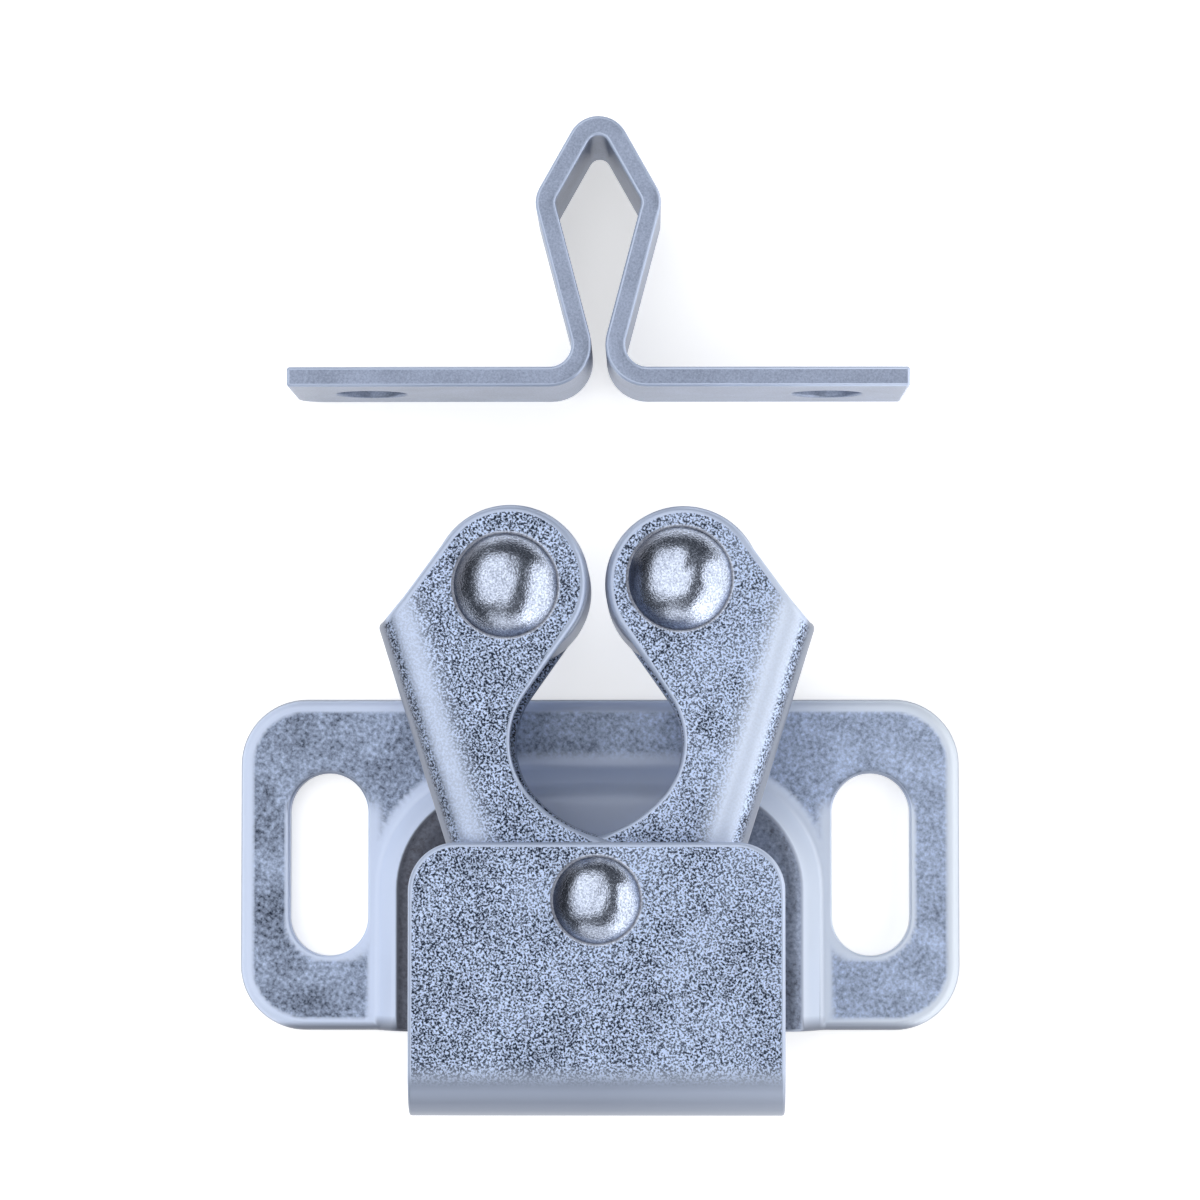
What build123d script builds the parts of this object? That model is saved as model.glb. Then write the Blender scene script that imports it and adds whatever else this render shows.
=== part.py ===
from build123d import *
import os
from math import asin, atan2, cos, degrees, radians, sin, sqrt, tan

# Double roller catch with its strike, in folded and plated steel sheet. All sizes are in millimetres.
# The catch lies on its back: X runs along the ears, Y is the way out of the jaws, and Z leaves the
# mounting face. The origin is midway between the two screw slots, on the mounting face. The radius
# of a bend is that of its inside.

# Mounting ears of the bracket
bracket_sheet = 1.0
ear_span = 33.2
ear_height = 15.24
ear_corner_r = 3.0
ear_edge_r = 0.5
slot_width = 3.6
slot_length = 8.4
slot_spacing = 25.0
slot_edge_r = 0.25

# Raised platform between the ears
platform_rise = 1.3
platform_width = 18.4
platform_top = 3.44
platform_corner_r = 4.6
platform_slope = 52.0
platform_bend_r = 0.45
seam_overlap = 0.02

# Fold at the bottom and the flap in front
flap_width = 16.24
flap_top = 1.13
flap_corner_r = 2.1
flap_edge_r = 0.16
fold_bottom = -10.71
fold_r = 1.0

# Jaws, two equal channels of sheet that lie one sheet apart on the same pivot
jaw_sheet = 0.8
jaw_depth = 10.1
jaw_bend_r = 0.7
jaw_edge_r = 0.2
plate_gap = 0.05
side_play = 0.15
pivot_y = -1.35
head_x = 3.79
head_y = 12.40
head_r = 3.35
corner_x = 9.60
corner_y = 10.65
corner_flat = 0.5
web_lean = 17.4
web_length = 19.75
tail_width = 3.0
tail_corner_r = 0.5

# Pocket between the jaws that the strike's loop lies in
pocket_x = 0.20
pocket_y = 5.48
pocket_r = 3.58
pocket_turn = 42.0
vee_y = 1.36

# Heel of each plate, which bears on the other jaw's web and stops the closing
heel_slope = 20.0
heel_length = 1.6
heel_gap = 0.04

# Rollers
roller_r = 3.45
roller_play = 0.06
roller_end_play = 0.15
roller_edge_r = 0.3

# Rivets
head_rivet_r = 1.25
head_dome_r = 2.25
head_dome_height = 1.15
head_dome_drift = -0.17
left_dome_lift = -0.13
right_dome_lift = 0.2
head_tail_r = 1.9
head_tail_height = 0.7
pivot_r = 1.25
pivot_play = 0.05
pivot_dome_r = 1.87
pivot_dome_height = 0.95
pivot_tail_r = 1.8
pivot_tail_height = 0.8

# Closing spring and the pressed-in seats that hold its ends
spring_y = -5.9
spring_coil_r = 1.85
spring_wire_r = 0.38
spring_turns = 6.0
spring_gap = 0.03
seat_play = 0.2
seat_height = 0.6

# Strike
strike_sheet = 0.9
strike_length = 28.0
strike_width = 7.5
strike_y = 21.5
strike_hole_r = 1.6
strike_hole_spacing = 20.8
strike_corner_r = 1.3
strike_foot = 0.92
strike_foot_r = 1.0
strike_waist = 2.92
strike_waist_y = 8.5
strike_waist_r = 0.5
strike_nose_y = 13.7
strike_nose_r = 0.5
strike_edge_r = 0.1

# Values that follow from the ones above
layer_pitch = jaw_sheet + plate_gap
platform_front = platform_rise + bracket_sheet
flap_back = platform_front + jaw_depth + layer_pitch + 2 * side_play
flap_front = flap_back + bracket_sheet
right_jaw_z = platform_front + side_play
left_jaw_z = right_jaw_z + layer_pitch
roller_length = jaw_depth - 2 * jaw_sheet - 2 * roller_end_play
middle_z = (platform_front + flap_back) / 2
lean = radians(web_lean)
corner = Vector(corner_x, corner_y)
up_web = Vector(sin(lean), cos(lean))
into_web = Vector(-cos(lean), sin(lean))
slope_run = platform_rise / tan(radians(platform_slope))
half_bend = tan(radians(platform_slope) / 2)
foot_reach = platform_bend_r * half_bend + seam_overlap
top_reach = (platform_bend_r + bracket_sheet) * half_bend + seam_overlap
seat_shift = (left_jaw_z - right_jaw_z) / 2

# How close an edge lies to the place where it is looked for, and a length that passes through any piece
near = 0.01
through = ear_span


def left_of(way):
    """The direction square to this one, on its left."""
    return Vector(-way.Y, way.X)


def bent_sheet(points, sheet, inside_radii):
    """Section of a bent sheet on the left of a line of corners, with a radius inside each bend."""
    face = [Vector(*point) for point in points]
    runs = [(end - start).normalized() for start, end in zip(face, face[1:])]
    back = [face[0] + left_of(runs[0]) * sheet]
    face_radii = []
    back_radii = []
    for before, after, point, inside in zip(runs, runs[1:], face[1:-1], inside_radii):
        mitre = (left_of(before) + left_of(after)) / (1 + before.dot(after))
        back.append(point + mitre * sheet)
        turns_left = before.X * after.Y > before.Y * after.X
        face_radii.append(inside + sheet if turns_left else inside)
        back_radii.append(inside if turns_left else inside + sheet)
    back.append(face[-1] + left_of(runs[-1]) * sheet)
    face_line = FilletPolyline(*face, radius=face_radii)
    back_line = FilletPolyline(*back, radius=back_radii)
    caps = [Line(face_line @ 1, back_line @ 1), Line(back_line @ 0, face_line @ 0)]
    return make_face([face_line, back_line] + caps)


def edges_at(part, height):
    """The edges of a part that lie flat at one height."""
    return part.edges().filter_by_position(Axis.Z, height - near, height + near)


def arch(inset):
    """Outline of the raised platform, drawn this far inside the foot of its slope."""
    half = platform_width / 2 + slope_run - inset
    top = platform_top + slope_run - inset
    radius = platform_corner_r + slope_run - inset
    foot = -ear_height / 2
    return FilletPolyline((half, foot), (half, top), (-half, top), (-half, foot), radius=radius)


def slots():
    """Both screw slots, as solids that stand through the sheet and the foot of the platform."""
    slot = extrude(Rot(0, 0, 90) * SlotOverall(slot_length, slot_width), platform_front)
    return Pos(-slot_spacing / 2, 0, 0) * slot + Pos(slot_spacing / 2, 0, 0) * slot


def ears():
    """The flat mounting plate, with its slots and its rolled front edges, open where the platform rises."""
    plate = extrude(RectangleRounded(ear_span, ear_height, ear_corner_r), bracket_sheet)
    plate = fillet(edges_at(plate, bracket_sheet), ear_edge_r)
    rim = edges_at(plate, bracket_sheet)
    plate -= slots()
    plate = fillet(edges_at(plate, bracket_sheet) - rim, slot_edge_r)
    gap_line = arch(-foot_reach)
    gap = make_face(gap_line + Line(gap_line @ 1, gap_line @ 0))
    return plate - extrude(gap, bracket_sheet)


def platform():
    """The raised middle of the bracket with the S-shaped slope round it, open at the bottom."""
    outer = foot_reach
    inner = -slope_run - top_reach
    points = [
        (outer, bracket_sheet),
        (0, bracket_sheet),
        (-slope_run, platform_front),
        (inner, platform_front),
    ]
    section = bent_sheet(points, bracket_sheet, (platform_bend_r, platform_bend_r))
    path = arch(0)
    start = path @ 0
    slope = sweep(Plane(origin=start, x_dir=(1, 0, 0), z_dir=(0, -1, 0)) * section, path=path)
    floor_line = arch(slope_run + top_reach)
    floor = make_face(floor_line + Line(floor_line @ 1, floor_line @ 0))
    return slope + Pos(0, 0, platform_rise) * extrude(floor, bracket_sheet)


def flap():
    """The strip that runs down from the platform, folds forward and stands up as the front flap."""
    points = [
        (flap_top, flap_front),
        (fold_bottom, flap_front),
        (fold_bottom, platform_rise),
        (-ear_height / 2, platform_rise),
    ]
    section = bent_sheet(points, bracket_sheet, (fold_r, fold_r))
    strip = extrude(Plane.YZ * section, flap_width / 2, both=True)
    corners = strip.edges().filter_by(Axis.Z).filter_by_position(Axis.Y, flap_top - near, flap_top + near)
    strip = fillet(corners, flap_corner_r)
    rim = strip.edges().filter_by(lambda edge: edge.center().Z > flap_front - near)
    return fillet(rim, flap_edge_r)


def base_bracket():
    """The one folded sheet that carries everything: ears, platform, fold and flap."""
    bracket = ears() + platform() + flap() - slots()
    return bracket - Pos(0, pivot_y, 0) * Cylinder(pivot_r, through)


def web_point(down, across):
    """A point of the right jaw's plan, so far down the web from its top corner and in from its face."""
    return corner - up_web * down + into_web * across


def jaw_outline():
    """Plan of the right jaw: head, throat, pocket, heel under the other jaw, and tail at the spring."""
    head = Vector(head_x, head_y)
    pocket = Vector(pocket_x, pocket_y)
    step = web_point(0, corner_flat)

    # straight shoulder from the top corner to the head
    to_head = head - step
    shoulder_angle = atan2(to_head.Y, to_head.X) - asin(head_r / to_head.length)
    shoulder_length = sqrt(to_head.length**2 - head_r**2)
    shoulder = step + Vector(cos(shoulder_angle), sin(shoulder_angle)) * shoulder_length

    # straight throat between the round head and the round pocket
    across = pocket - head
    throat_angle = atan2(across.Y, across.X) + asin((head_r + pocket_r) / across.length)
    normal = Vector(-sin(throat_angle), cos(throat_angle))
    throat_top = head - normal * head_r
    throat_end = pocket + normal * pocket_r

    # heel, parallel to the other jaw's web and just clear of it
    bite = jaw_bend_r - sqrt(jaw_bend_r**2 - (jaw_bend_r - plate_gap) ** 2)
    clear = jaw_sheet + bite + heel_gap
    other_web = Vector(-web_point(0, clear).X, web_point(0, clear).Y)
    down_other = Vector(up_web.X, -up_web.Y)
    vee = Vector(0, vee_y)
    heel_way = Vector(-cos(radians(heel_slope)), -sin(radians(heel_slope)))
    offset_way = other_web - vee
    turn = heel_way.X * down_other.Y - heel_way.Y * down_other.X
    heel_run = (offset_way.X * down_other.Y - offset_way.Y * down_other.X) / turn
    heel_top = vee + heel_way * heel_run
    heel_end = heel_top + down_other * heel_length

    pocket_start = degrees(atan2(normal.Y, normal.X))
    pocket_arc = CenterArc(pocket, pocket_r, pocket_start, -pocket_start - pocket_turn)
    head_top = head + Vector(0, head_r)
    outline = [
        Line(web_point(web_length, 0), corner),
        Line(corner, step),
        Line(step, shoulder),
        ThreePointArc(shoulder, head_top, throat_top),
        Line(throat_top, throat_end),
        pocket_arc,
        TangentArc(pocket_arc @ 1, vee, tangent=pocket_arc % 1),
        Line(vee, heel_top),
        Line(heel_top, heel_end),
        Line(heel_end, web_point(web_length, tail_width)),
        Line(web_point(web_length, tail_width), web_point(web_length, 0)),
    ]
    return make_face(outline)


def right_jaw():
    """A channel folded along the leaning web, cut to its plan, with its holes and the spring's seat."""
    points = [(through, jaw_depth), (0, jaw_depth), (0, 0), (through, 0)]
    section = bent_sheet(points, jaw_sheet, (jaw_bend_r, jaw_bend_r))
    along_web = Plane(
        origin=(corner.X, corner.Y, 0),
        x_dir=(into_web.X, into_web.Y, 0),
        z_dir=(up_web.X, up_web.Y, 0),
    )
    channel = extrude(along_web * section, through, both=True)
    blank = extrude(jaw_outline(), jaw_depth)
    tail_end = web_point(web_length, tail_width)
    hidden_corners = blank.edges().filter_by(Axis.Z).filter_by(
        lambda edge: edge.center().X < tail_end.X + near and edge.center().Y < vee_y - near
    )
    blank = fillet(hidden_corners, tail_corner_r)
    blank = fillet(edges_at(blank, 0) + edges_at(blank, jaw_depth), jaw_edge_r)
    jaw = channel & blank
    jaw -= Pos(0, pivot_y, 0) * Cylinder(pivot_r + pivot_play, through)
    jaw -= Pos(head_x, head_y, 0) * Cylinder(head_rivet_r, through)
    return Pos(0, 0, right_jaw_z) * spring_seat(jaw)


def spring_seat(jaw):
    """Press a round nub into the web, standing inwards into the spring's end, with its dent outside."""
    seat_r = spring_coil_r - spring_wire_r - seat_play
    down = (corner_y - spring_y) / cos(lean)
    centre = web_point(down, 0)
    inwards = Plane(
        origin=(centre.X, centre.Y, jaw_depth / 2 + seat_shift),
        z_dir=(into_web.X, into_web.Y, 0),
    )
    nub = inwards * Pos(0, 0, jaw_sheet) * extrude(Circle(seat_r), seat_height)
    dent = inwards * extrude(Circle(seat_r), seat_height)
    return jaw + nub - dent


def left_jaw():
    """The same stamping, turned over about the middle and lying one layer further forward."""
    turned = Rot(0, 180, 0) * Pos(0, 0, -right_jaw_z) * right_jaw()
    return Pos(0, 0, left_jaw_z + jaw_depth) * turned


def dome(radius, height):
    """A rivet's domed head, standing on the plane Z = 0."""
    ball_r = (radius**2 + height**2) / (2 * height)
    cap = Pos(0, 0, height - ball_r) * Sphere(ball_r)
    return cap & Pos(0, 0, height) * Box(3 * radius, 3 * radius, 2 * height)


def rivet(shank_r, length, dome_r, dome_height, drift, lift, tail_r, tail_height):
    """A rivet with its shank from Z = 0 up to its length, a dome on top and a formed tail below."""
    shank = Cylinder(shank_r, length, align=(Align.CENTER, Align.CENTER, Align.MIN))
    front = Pos(drift, lift, length) * dome(dome_r, dome_height)
    back = Rot(180, 0, 0) * dome(tail_r, tail_height)
    return shank + front + back


def head_rivet(x, z, lift):
    """The axle of a roller. Its dome was struck a little to the left of its hole and above or below it."""
    front = (head_dome_r, head_dome_height, head_dome_drift, lift)
    body = rivet(head_rivet_r, jaw_depth, *front, head_tail_r, head_tail_height)
    return Pos(x, head_y, z) * body


def pivot_rivet():
    """The rivet that holds flap and platform together and that both jaws turn on."""
    length = flap_front - platform_rise
    front = (pivot_dome_r, pivot_dome_height, 0, 0)
    body = rivet(pivot_r, length, *front, pivot_tail_r, pivot_tail_height)
    return Pos(0, pivot_y, platform_rise) * body


def roller(x, z):
    """A roller that turns on the head rivet between the plates of its jaw."""
    tube = Cylinder(roller_r, roller_length, align=(Align.CENTER, Align.CENTER, Align.MIN))
    tube = fillet(tube.edges(), roller_edge_r)
    tube -= Cylinder(head_rivet_r + roller_play, through)
    return Pos(x, head_y, z + jaw_sheet + roller_end_play) * tube


def closing_spring():
    """A coil bowed along an arc, so that each end points squarely at its leaning web."""
    face = web_point((corner_y - spring_y) / cos(lean), jaw_sheet + spring_gap + spring_wire_r)
    bow_r = face.X / sin(lean)
    bow_centre_y = face.Y - bow_r * cos(lean)
    per_turn = 8
    count = round(spring_turns * per_turn)
    points = []
    for i in range(count + 1):
        bow = lean * (2 * i / count - 1)
        turn = radians(360 * i / per_turn)
        distance = bow_r + spring_coil_r * cos(turn)
        points.append(
            (distance * sin(bow), bow_centre_y + distance * cos(bow), middle_z + spring_coil_r * sin(turn))
        )
    line = Spline(*points)
    wire = RegularPolygon(spring_wire_r, per_turn)
    return sweep(Plane(origin=line @ 0, z_dir=line % 0) * wire, path=line)


def strike():
    """A folded strip lying on its long edge: two flanges and a spear-shaped loop that points along Y."""
    half = strike_length / 2
    points = [
        (half, strike_sheet),
        (strike_foot, strike_sheet),
        (strike_waist, strike_waist_y),
        (0, strike_nose_y),
        (-strike_waist, strike_waist_y),
        (-strike_foot, strike_sheet),
        (-half, strike_sheet),
    ]
    radii = (strike_foot_r, strike_waist_r, strike_nose_r, strike_waist_r, strike_foot_r)
    section = bent_sheet(points, strike_sheet, radii)
    strip = extrude(section, strike_width)
    hole = Rot(90, 0, 0) * Cylinder(strike_hole_r, 3 * strike_sheet)
    for x in (-strike_hole_spacing / 2, strike_hole_spacing / 2):
        strip -= Pos(x, 0, strike_width / 2) * hole
    back_corner = strip.edges().filter_by(Axis.Y).sort_by(Axis.X)[:2].sort_by(Axis.Z)[0]
    strip = fillet(back_corner, strike_corner_r)
    strip = fillet(edges_at(strip, 0) + edges_at(strip, strike_width), strike_edge_r)
    return Pos(0, strike_y, 0) * strip


os.makedirs("parts", exist_ok=True)
nodes = {
    "base_bracket": base_bracket(),
    "left_jaw": left_jaw(),
    "right_jaw": right_jaw(),
    "left_roller": roller(-head_x, left_jaw_z),
    "right_roller": roller(head_x, right_jaw_z),
    "left_head_rivet": head_rivet(-head_x, left_jaw_z, left_dome_lift),
    "right_head_rivet": head_rivet(head_x, right_jaw_z, right_dome_lift),
    "pivot_rivet": pivot_rivet(),
    "closing_spring": closing_spring(),
    "strike": strike(),
}
for name, solid in nodes.items():
    export_step(solid, f"parts/{name}.step")
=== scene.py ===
from math import acos, asin, atan2, ceil, cos, pi, radians, sin, sqrt, tan
import bmesh
import bpy
from bpy.props import FloatProperty, FloatVectorProperty, IntProperty, PointerProperty
from mathutils import Matrix, Vector, noise


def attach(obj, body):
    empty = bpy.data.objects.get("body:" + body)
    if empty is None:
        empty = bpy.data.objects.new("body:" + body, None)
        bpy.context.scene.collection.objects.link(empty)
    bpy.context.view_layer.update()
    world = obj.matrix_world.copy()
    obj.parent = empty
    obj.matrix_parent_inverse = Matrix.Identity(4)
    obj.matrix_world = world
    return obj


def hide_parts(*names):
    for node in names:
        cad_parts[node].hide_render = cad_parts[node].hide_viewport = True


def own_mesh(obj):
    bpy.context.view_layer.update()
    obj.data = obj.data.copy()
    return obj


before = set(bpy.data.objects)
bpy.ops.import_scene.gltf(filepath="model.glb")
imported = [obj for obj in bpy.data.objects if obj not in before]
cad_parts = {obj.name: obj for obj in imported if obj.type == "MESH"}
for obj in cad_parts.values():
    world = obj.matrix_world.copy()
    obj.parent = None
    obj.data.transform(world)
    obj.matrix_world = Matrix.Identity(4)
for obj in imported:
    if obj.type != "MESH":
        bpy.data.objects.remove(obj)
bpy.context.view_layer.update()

bl_info = {
    "name": "Roller Catch",
    "version": (1, 0, 0),
    "blender": (4, 5, 0),
    "location": "3D View > Sidebar > Roller Catch",
    "description": "Builds a double roller catch and its strike in blue-white zinc-plated steel",
    "category": "Add Mesh",
}

# Shapes are drawn in millimetres and brought to metres when a piece is finished.
MM = 0.001
# The largest turn between two vertices of a drawn arc, and the steps of a full turn.
ROUND_STEP = radians(5)
TURN_STEPS = 96
# Edges that turn more than this are shaded sharp.
SHARP = radians(32)
# Places closer together than this, in millimetres, are one place.
TOUCH = 1e-4


def linear(code):
    """An sRGB hex colour as linear red, green and blue."""
    parts = [int(code[i:i + 2], 16) / 255 for i in (0, 2, 4)]
    return tuple(c / 12.92 if c <= 0.04045 else ((c + 0.055) / 1.055) ** 2.4 for c in parts)


def length(name, description, value):
    """A length property whose default is given in millimetres."""
    return FloatProperty(name=name, description=description, default=value * MM, unit="LENGTH", precision=5)


def angle(name, description, value):
    """An angle property whose default is given in degrees."""
    return FloatProperty(name=name, description=description, default=radians(value), subtype="ANGLE")


def colour(name, description, code):
    """A colour property whose default is an sRGB hex code."""
    return FloatVectorProperty(name=name, description=description, default=linear(code), subtype="COLOR",
                               size=3, min=0.0, max=1.0)


class BracketSizes(bpy.types.PropertyGroup):
    """Sizes of the folded bracket."""
    sheet: length("Sheet", "Thickness of the bracket's sheet", 1.0)
    span: length("Span", "Length of the mounting ears from end to end", 33.2)
    height: length("Height", "Height of the ears along the slots", 15.24)
    corner_r: length("Ear corner", "Radius of the ears' corners in plan", 3.0)
    ear_edge: length("Ear edge", "Roll of the ears' front edge", 0.5)
    slot_width: length("Slot width", "Width of a screw slot", 3.6)
    slot_length: length("Slot length", "Length of a screw slot", 8.4)
    slot_spacing: length("Slot spacing", "Distance between the slots", 25.0)
    slot_edge: length("Slot edge", "Roll of a slot's front edge", 0.12)
    rise: length("Rise", "How far the middle is pressed forward", 1.3)
    platform_width: length("Platform width", "Width of the raised middle", 18.4)
    platform_top: length("Platform top", "Upper end of the raised middle", 3.44)
    platform_corner_r: length("Platform corner", "Corner radius of the raised middle", 4.6)
    slope: angle("Slope", "Steepness of the wall round the raised middle", 52.0)
    slope_r: length("Slope bend", "Radius inside the bends of that wall", 0.45)
    flap_width: length("Flap width", "Width of the front flap", 16.24)
    flap_top: length("Flap top", "Upper edge of the front flap", 1.13)
    flap_corner_r: length("Flap corner", "Radius of the flap's corners", 2.1)
    flap_edge: length("Flap edge", "Roll of the flap's edge", 0.2)
    flap_front: length("Flap front", "Front face of the flap above the mounting face", 14.55)
    fold_bottom: length("Fold bottom", "Lowest line of the fold", -10.71)
    fold_r: length("Fold radius", "Radius inside the fold", 1.0)


class JawSizes(bpy.types.PropertyGroup):
    """Sizes of the two jaws, which are the same stamping."""
    sheet: length("Sheet", "Thickness of the jaws' sheet", 0.8)
    depth: length("Depth", "Depth of the channel over both plates", 10.1)
    bend_r: length("Bend", "Radius inside the channel's bends", 0.7)
    edge: length("Edge", "Roll of the outline's outer edge", 0.28)
    pitch: length("Layer pitch", "How far the left jaw lies in front of the right one", 0.85)
    back: length("Back", "Back of the right jaw above the mounting face", 2.45)
    pivot_y: length("Pivot", "Height of the pivot", -1.35)
    head_x: length("Head across", "Head centre from the middle", 3.79)
    head_y: length("Head up", "Head centre's height", 12.40)
    head_r: length("Head radius", "Radius of a head", 3.35)
    corner_x: length("Corner across", "Top corner of the web from the middle", 9.60)
    corner_y: length("Corner up", "Top corner's height", 10.65)
    corner_step: length("Corner step", "Flat at the top corner of the web", 0.5)
    lean: angle("Lean", "How far the web leans", 17.4)
    web: length("Web", "Length of the web", 19.75)
    tail_width: length("Tail width", "Width of the plates at the tail", 3.0)
    tail_r: length("Tail corner", "Radius of the tail's corners", 0.5)
    pocket_x: length("Pocket across", "Pocket centre from the middle", 0.20)
    pocket_y: length("Pocket up", "Pocket centre's height", 5.48)
    pocket_r: length("Pocket radius", "Radius of the pocket", 3.58)
    pocket_turn: angle("Pocket turn", "Where the pocket's arc eases off", 42.0)
    vee_y: length("Vee", "Height of the pocket's lowest point", 1.36)
    heel_slope: angle("Heel slope", "Slope of the heel under the pocket", 20.0)
    heel_length: length("Heel length", "Length of the heel's face", 1.6)
    heel_gap: length("Heel gap", "Clearance of the heel from the other web", 0.04)
    plate_gap: length("Plate gap", "Clearance between the two jaws' plates", 0.05)
    seat_r: length("Seat radius", "Radius of the spring's pressed seat", 1.27)
    seat_height: length("Seat height", "Height of the spring's pressed seat", 0.6)


class RivetSizes(bpy.types.PropertyGroup):
    """Sizes of the rivets and rollers."""
    head_shank_r: length("Head shank", "Radius of a head rivet's shank", 1.25)
    head_dome_r: length("Head dome", "Radius of a head rivet's dome", 2.25)
    head_dome_height: length("Head dome height", "Height of a head rivet's dome", 1.15)
    head_drift: length("Head drift", "How far the head domes were struck to the left of their holes", -0.17)
    left_lift: length("Left lift", "How far the left dome was struck above its hole", -0.13)
    right_lift: length("Right lift", "How far the right dome was struck above its hole", 0.2)
    head_tail_r: length("Head tail", "Radius of a head rivet's tail", 1.9)
    head_tail_height: length("Head tail height", "Height of a head rivet's tail", 0.7)
    pivot_shank_r: length("Pivot shank", "Radius of the pivot rivet's shank", 1.25)
    pivot_dome_r: length("Pivot dome", "Radius of the pivot rivet's dome", 1.87)
    pivot_dome_height: length("Pivot dome height", "Height of the pivot rivet's dome", 0.95)
    pivot_tail_r: length("Pivot tail", "Radius of the pivot rivet's tail", 1.8)
    pivot_tail_height: length("Pivot tail height", "Height of the pivot rivet's tail", 0.8)
    roller_r: length("Roller radius", "Radius of a roller", 3.45)
    roller_bore_r: length("Roller bore", "Radius of a roller's bore", 1.31)
    roller_end_play: length("Roller end play", "Gap at each end of a roller", 0.15)
    roller_edge: length("Roller edge", "Rounding of a roller's rim", 0.3)
    dent: length("Dent", "Depth of the hammer marks on the domes", 0.02)


class SpringSizes(bpy.types.PropertyGroup):
    """Sizes of the closing spring."""
    centre_y: length("Height", "Height of the spring's middle line at its ends", -5.9)
    coil_r: length("Coil radius", "Radius of the coil to the wire's centre", 1.85)
    wire_r: length("Wire radius", "Radius of the wire", 0.38)
    gap: length("Gap", "Clearance at each end", 0.03)
    half_turns: IntProperty(name="Half turns", description="Turns in each half", default=3, min=1)
    keep: FloatProperty(name="Keep", description="Share of its length left with the jaws open", default=0.52,
                        subtype="FACTOR", min=0.1, max=1.0)


class StrikeSizes(bpy.types.PropertyGroup):
    """Sizes of the folded strike."""
    sheet: length("Sheet", "Thickness of the strike's sheet", 0.9)
    span: length("Span", "Length over both flanges", 28.0)
    width: length("Width", "Width of the strip", 7.5)
    back_y: length("Back", "Back of the flanges, which lie on the door", 21.5)
    hole_r: length("Hole radius", "Radius of a screw hole", 1.6)
    hole_spacing: length("Hole spacing", "Distance between the holes", 20.8)
    corner_r: length("Corner", "Radius of the one rounded corner", 1.3)
    foot: length("Foot", "Half width of the loop where it leaves the flanges", 0.92)
    foot_r: length("Foot bend", "Radius inside the bend at the foot", 1.0)
    waist: length("Waist", "Half width of the loop at its widest", 2.92)
    waist_y: length("Waist height", "Height of the widest place above the back", 8.5)
    waist_r: length("Waist bend", "Radius inside the bend at the waist", 0.5)
    nose_y: length("Nose height", "Height of the nose's corner above the back", 13.7)
    nose_r: length("Nose bend", "Radius inside the bend at the nose", 0.5)
    edge: length("Edge", "Roll of the strip's edges", 0.13)


class ZincColours(bpy.types.PropertyGroup):
    """Colours and grain of the plating, with the painted highlights and painted shade laid on it."""
    pale: colour("Pale grain", "Bright crystals of the plating", "cedfff")
    dark: colour("Dark grain", "Dark pits between the crystals", "1a2538")
    # smooth: the plating stretched smooth over bends and edges, with a painted sheen on them
    smooth: colour("Smooth", "Plating stretched smooth over bends and edges", "b8c5de")
    satin: colour("Satin", "The strike's finer plating", "a3aec6")
    satin_dark: colour("Satin pits", "Pits in the strike's plating", "7c869a")
    # painted highlight colours, laid where the lamps catch the walls, bends and pocket; the second is for the
    # right end, painted paler
    bright: colour("Burnished", "Plating rubbed bright by the press tools", "d9e6ff")
    brightest: colour("Burnished right", "Burnished plating at the right end, where it is thickest", "eaf3ff")
    # painted shade, laid in the folds, beside the flap and the pocket, along the ears' outline and lower rim,
    # above the slots, on the jaws' bends beside the web, and in the domes' grooves and on their left sides
    painted_shade: colour("Dull", "Plain grey plating deep inside the folds", "3e3d44")
    rivet: colour("Rivet", "Plating on the struck domes", "dae4f8")
    rivet_dark: colour("Rivet pits", "Pits in the domes' plating", "8c94a6")
    roller: colour("Roller", "Turned steel of the rollers", "bcc4d6")
    wire: colour("Wire", "Drawn spring wire", "6f747e")
    grain: length("Grain", "Width of a crystal and the pit beside it", 0.092)
    floor: colour("Floor", "The studio floor as it is seen", "f2f2f2")
    floor_shade: colour("Floor shade", "The studio floor as it lights the pieces", "bcbcbc")
    surround: colour("Surround", "The faint light from all round the studio", "f3f8ff")


def sizes(name):
    """A property group's lengths in millimetres and its other values as they are."""
    group = getattr(bpy.context.scene, name)
    values = type("Values", (), {})()
    for key in group.__annotations__:
        value = getattr(group, key)
        is_length = group.bl_rna.properties[key].unit == "LENGTH"
        setattr(values, key, value / MM if is_length else value)
    return values


def left_of(way):
    """The direction square to this one, on its left."""
    return Vector((-way.y, way.x))


def turn_between(way, other):
    """The signed angle from one direction to another."""
    return atan2(way.x * other.y - way.y * other.x, way.dot(other))


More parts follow.
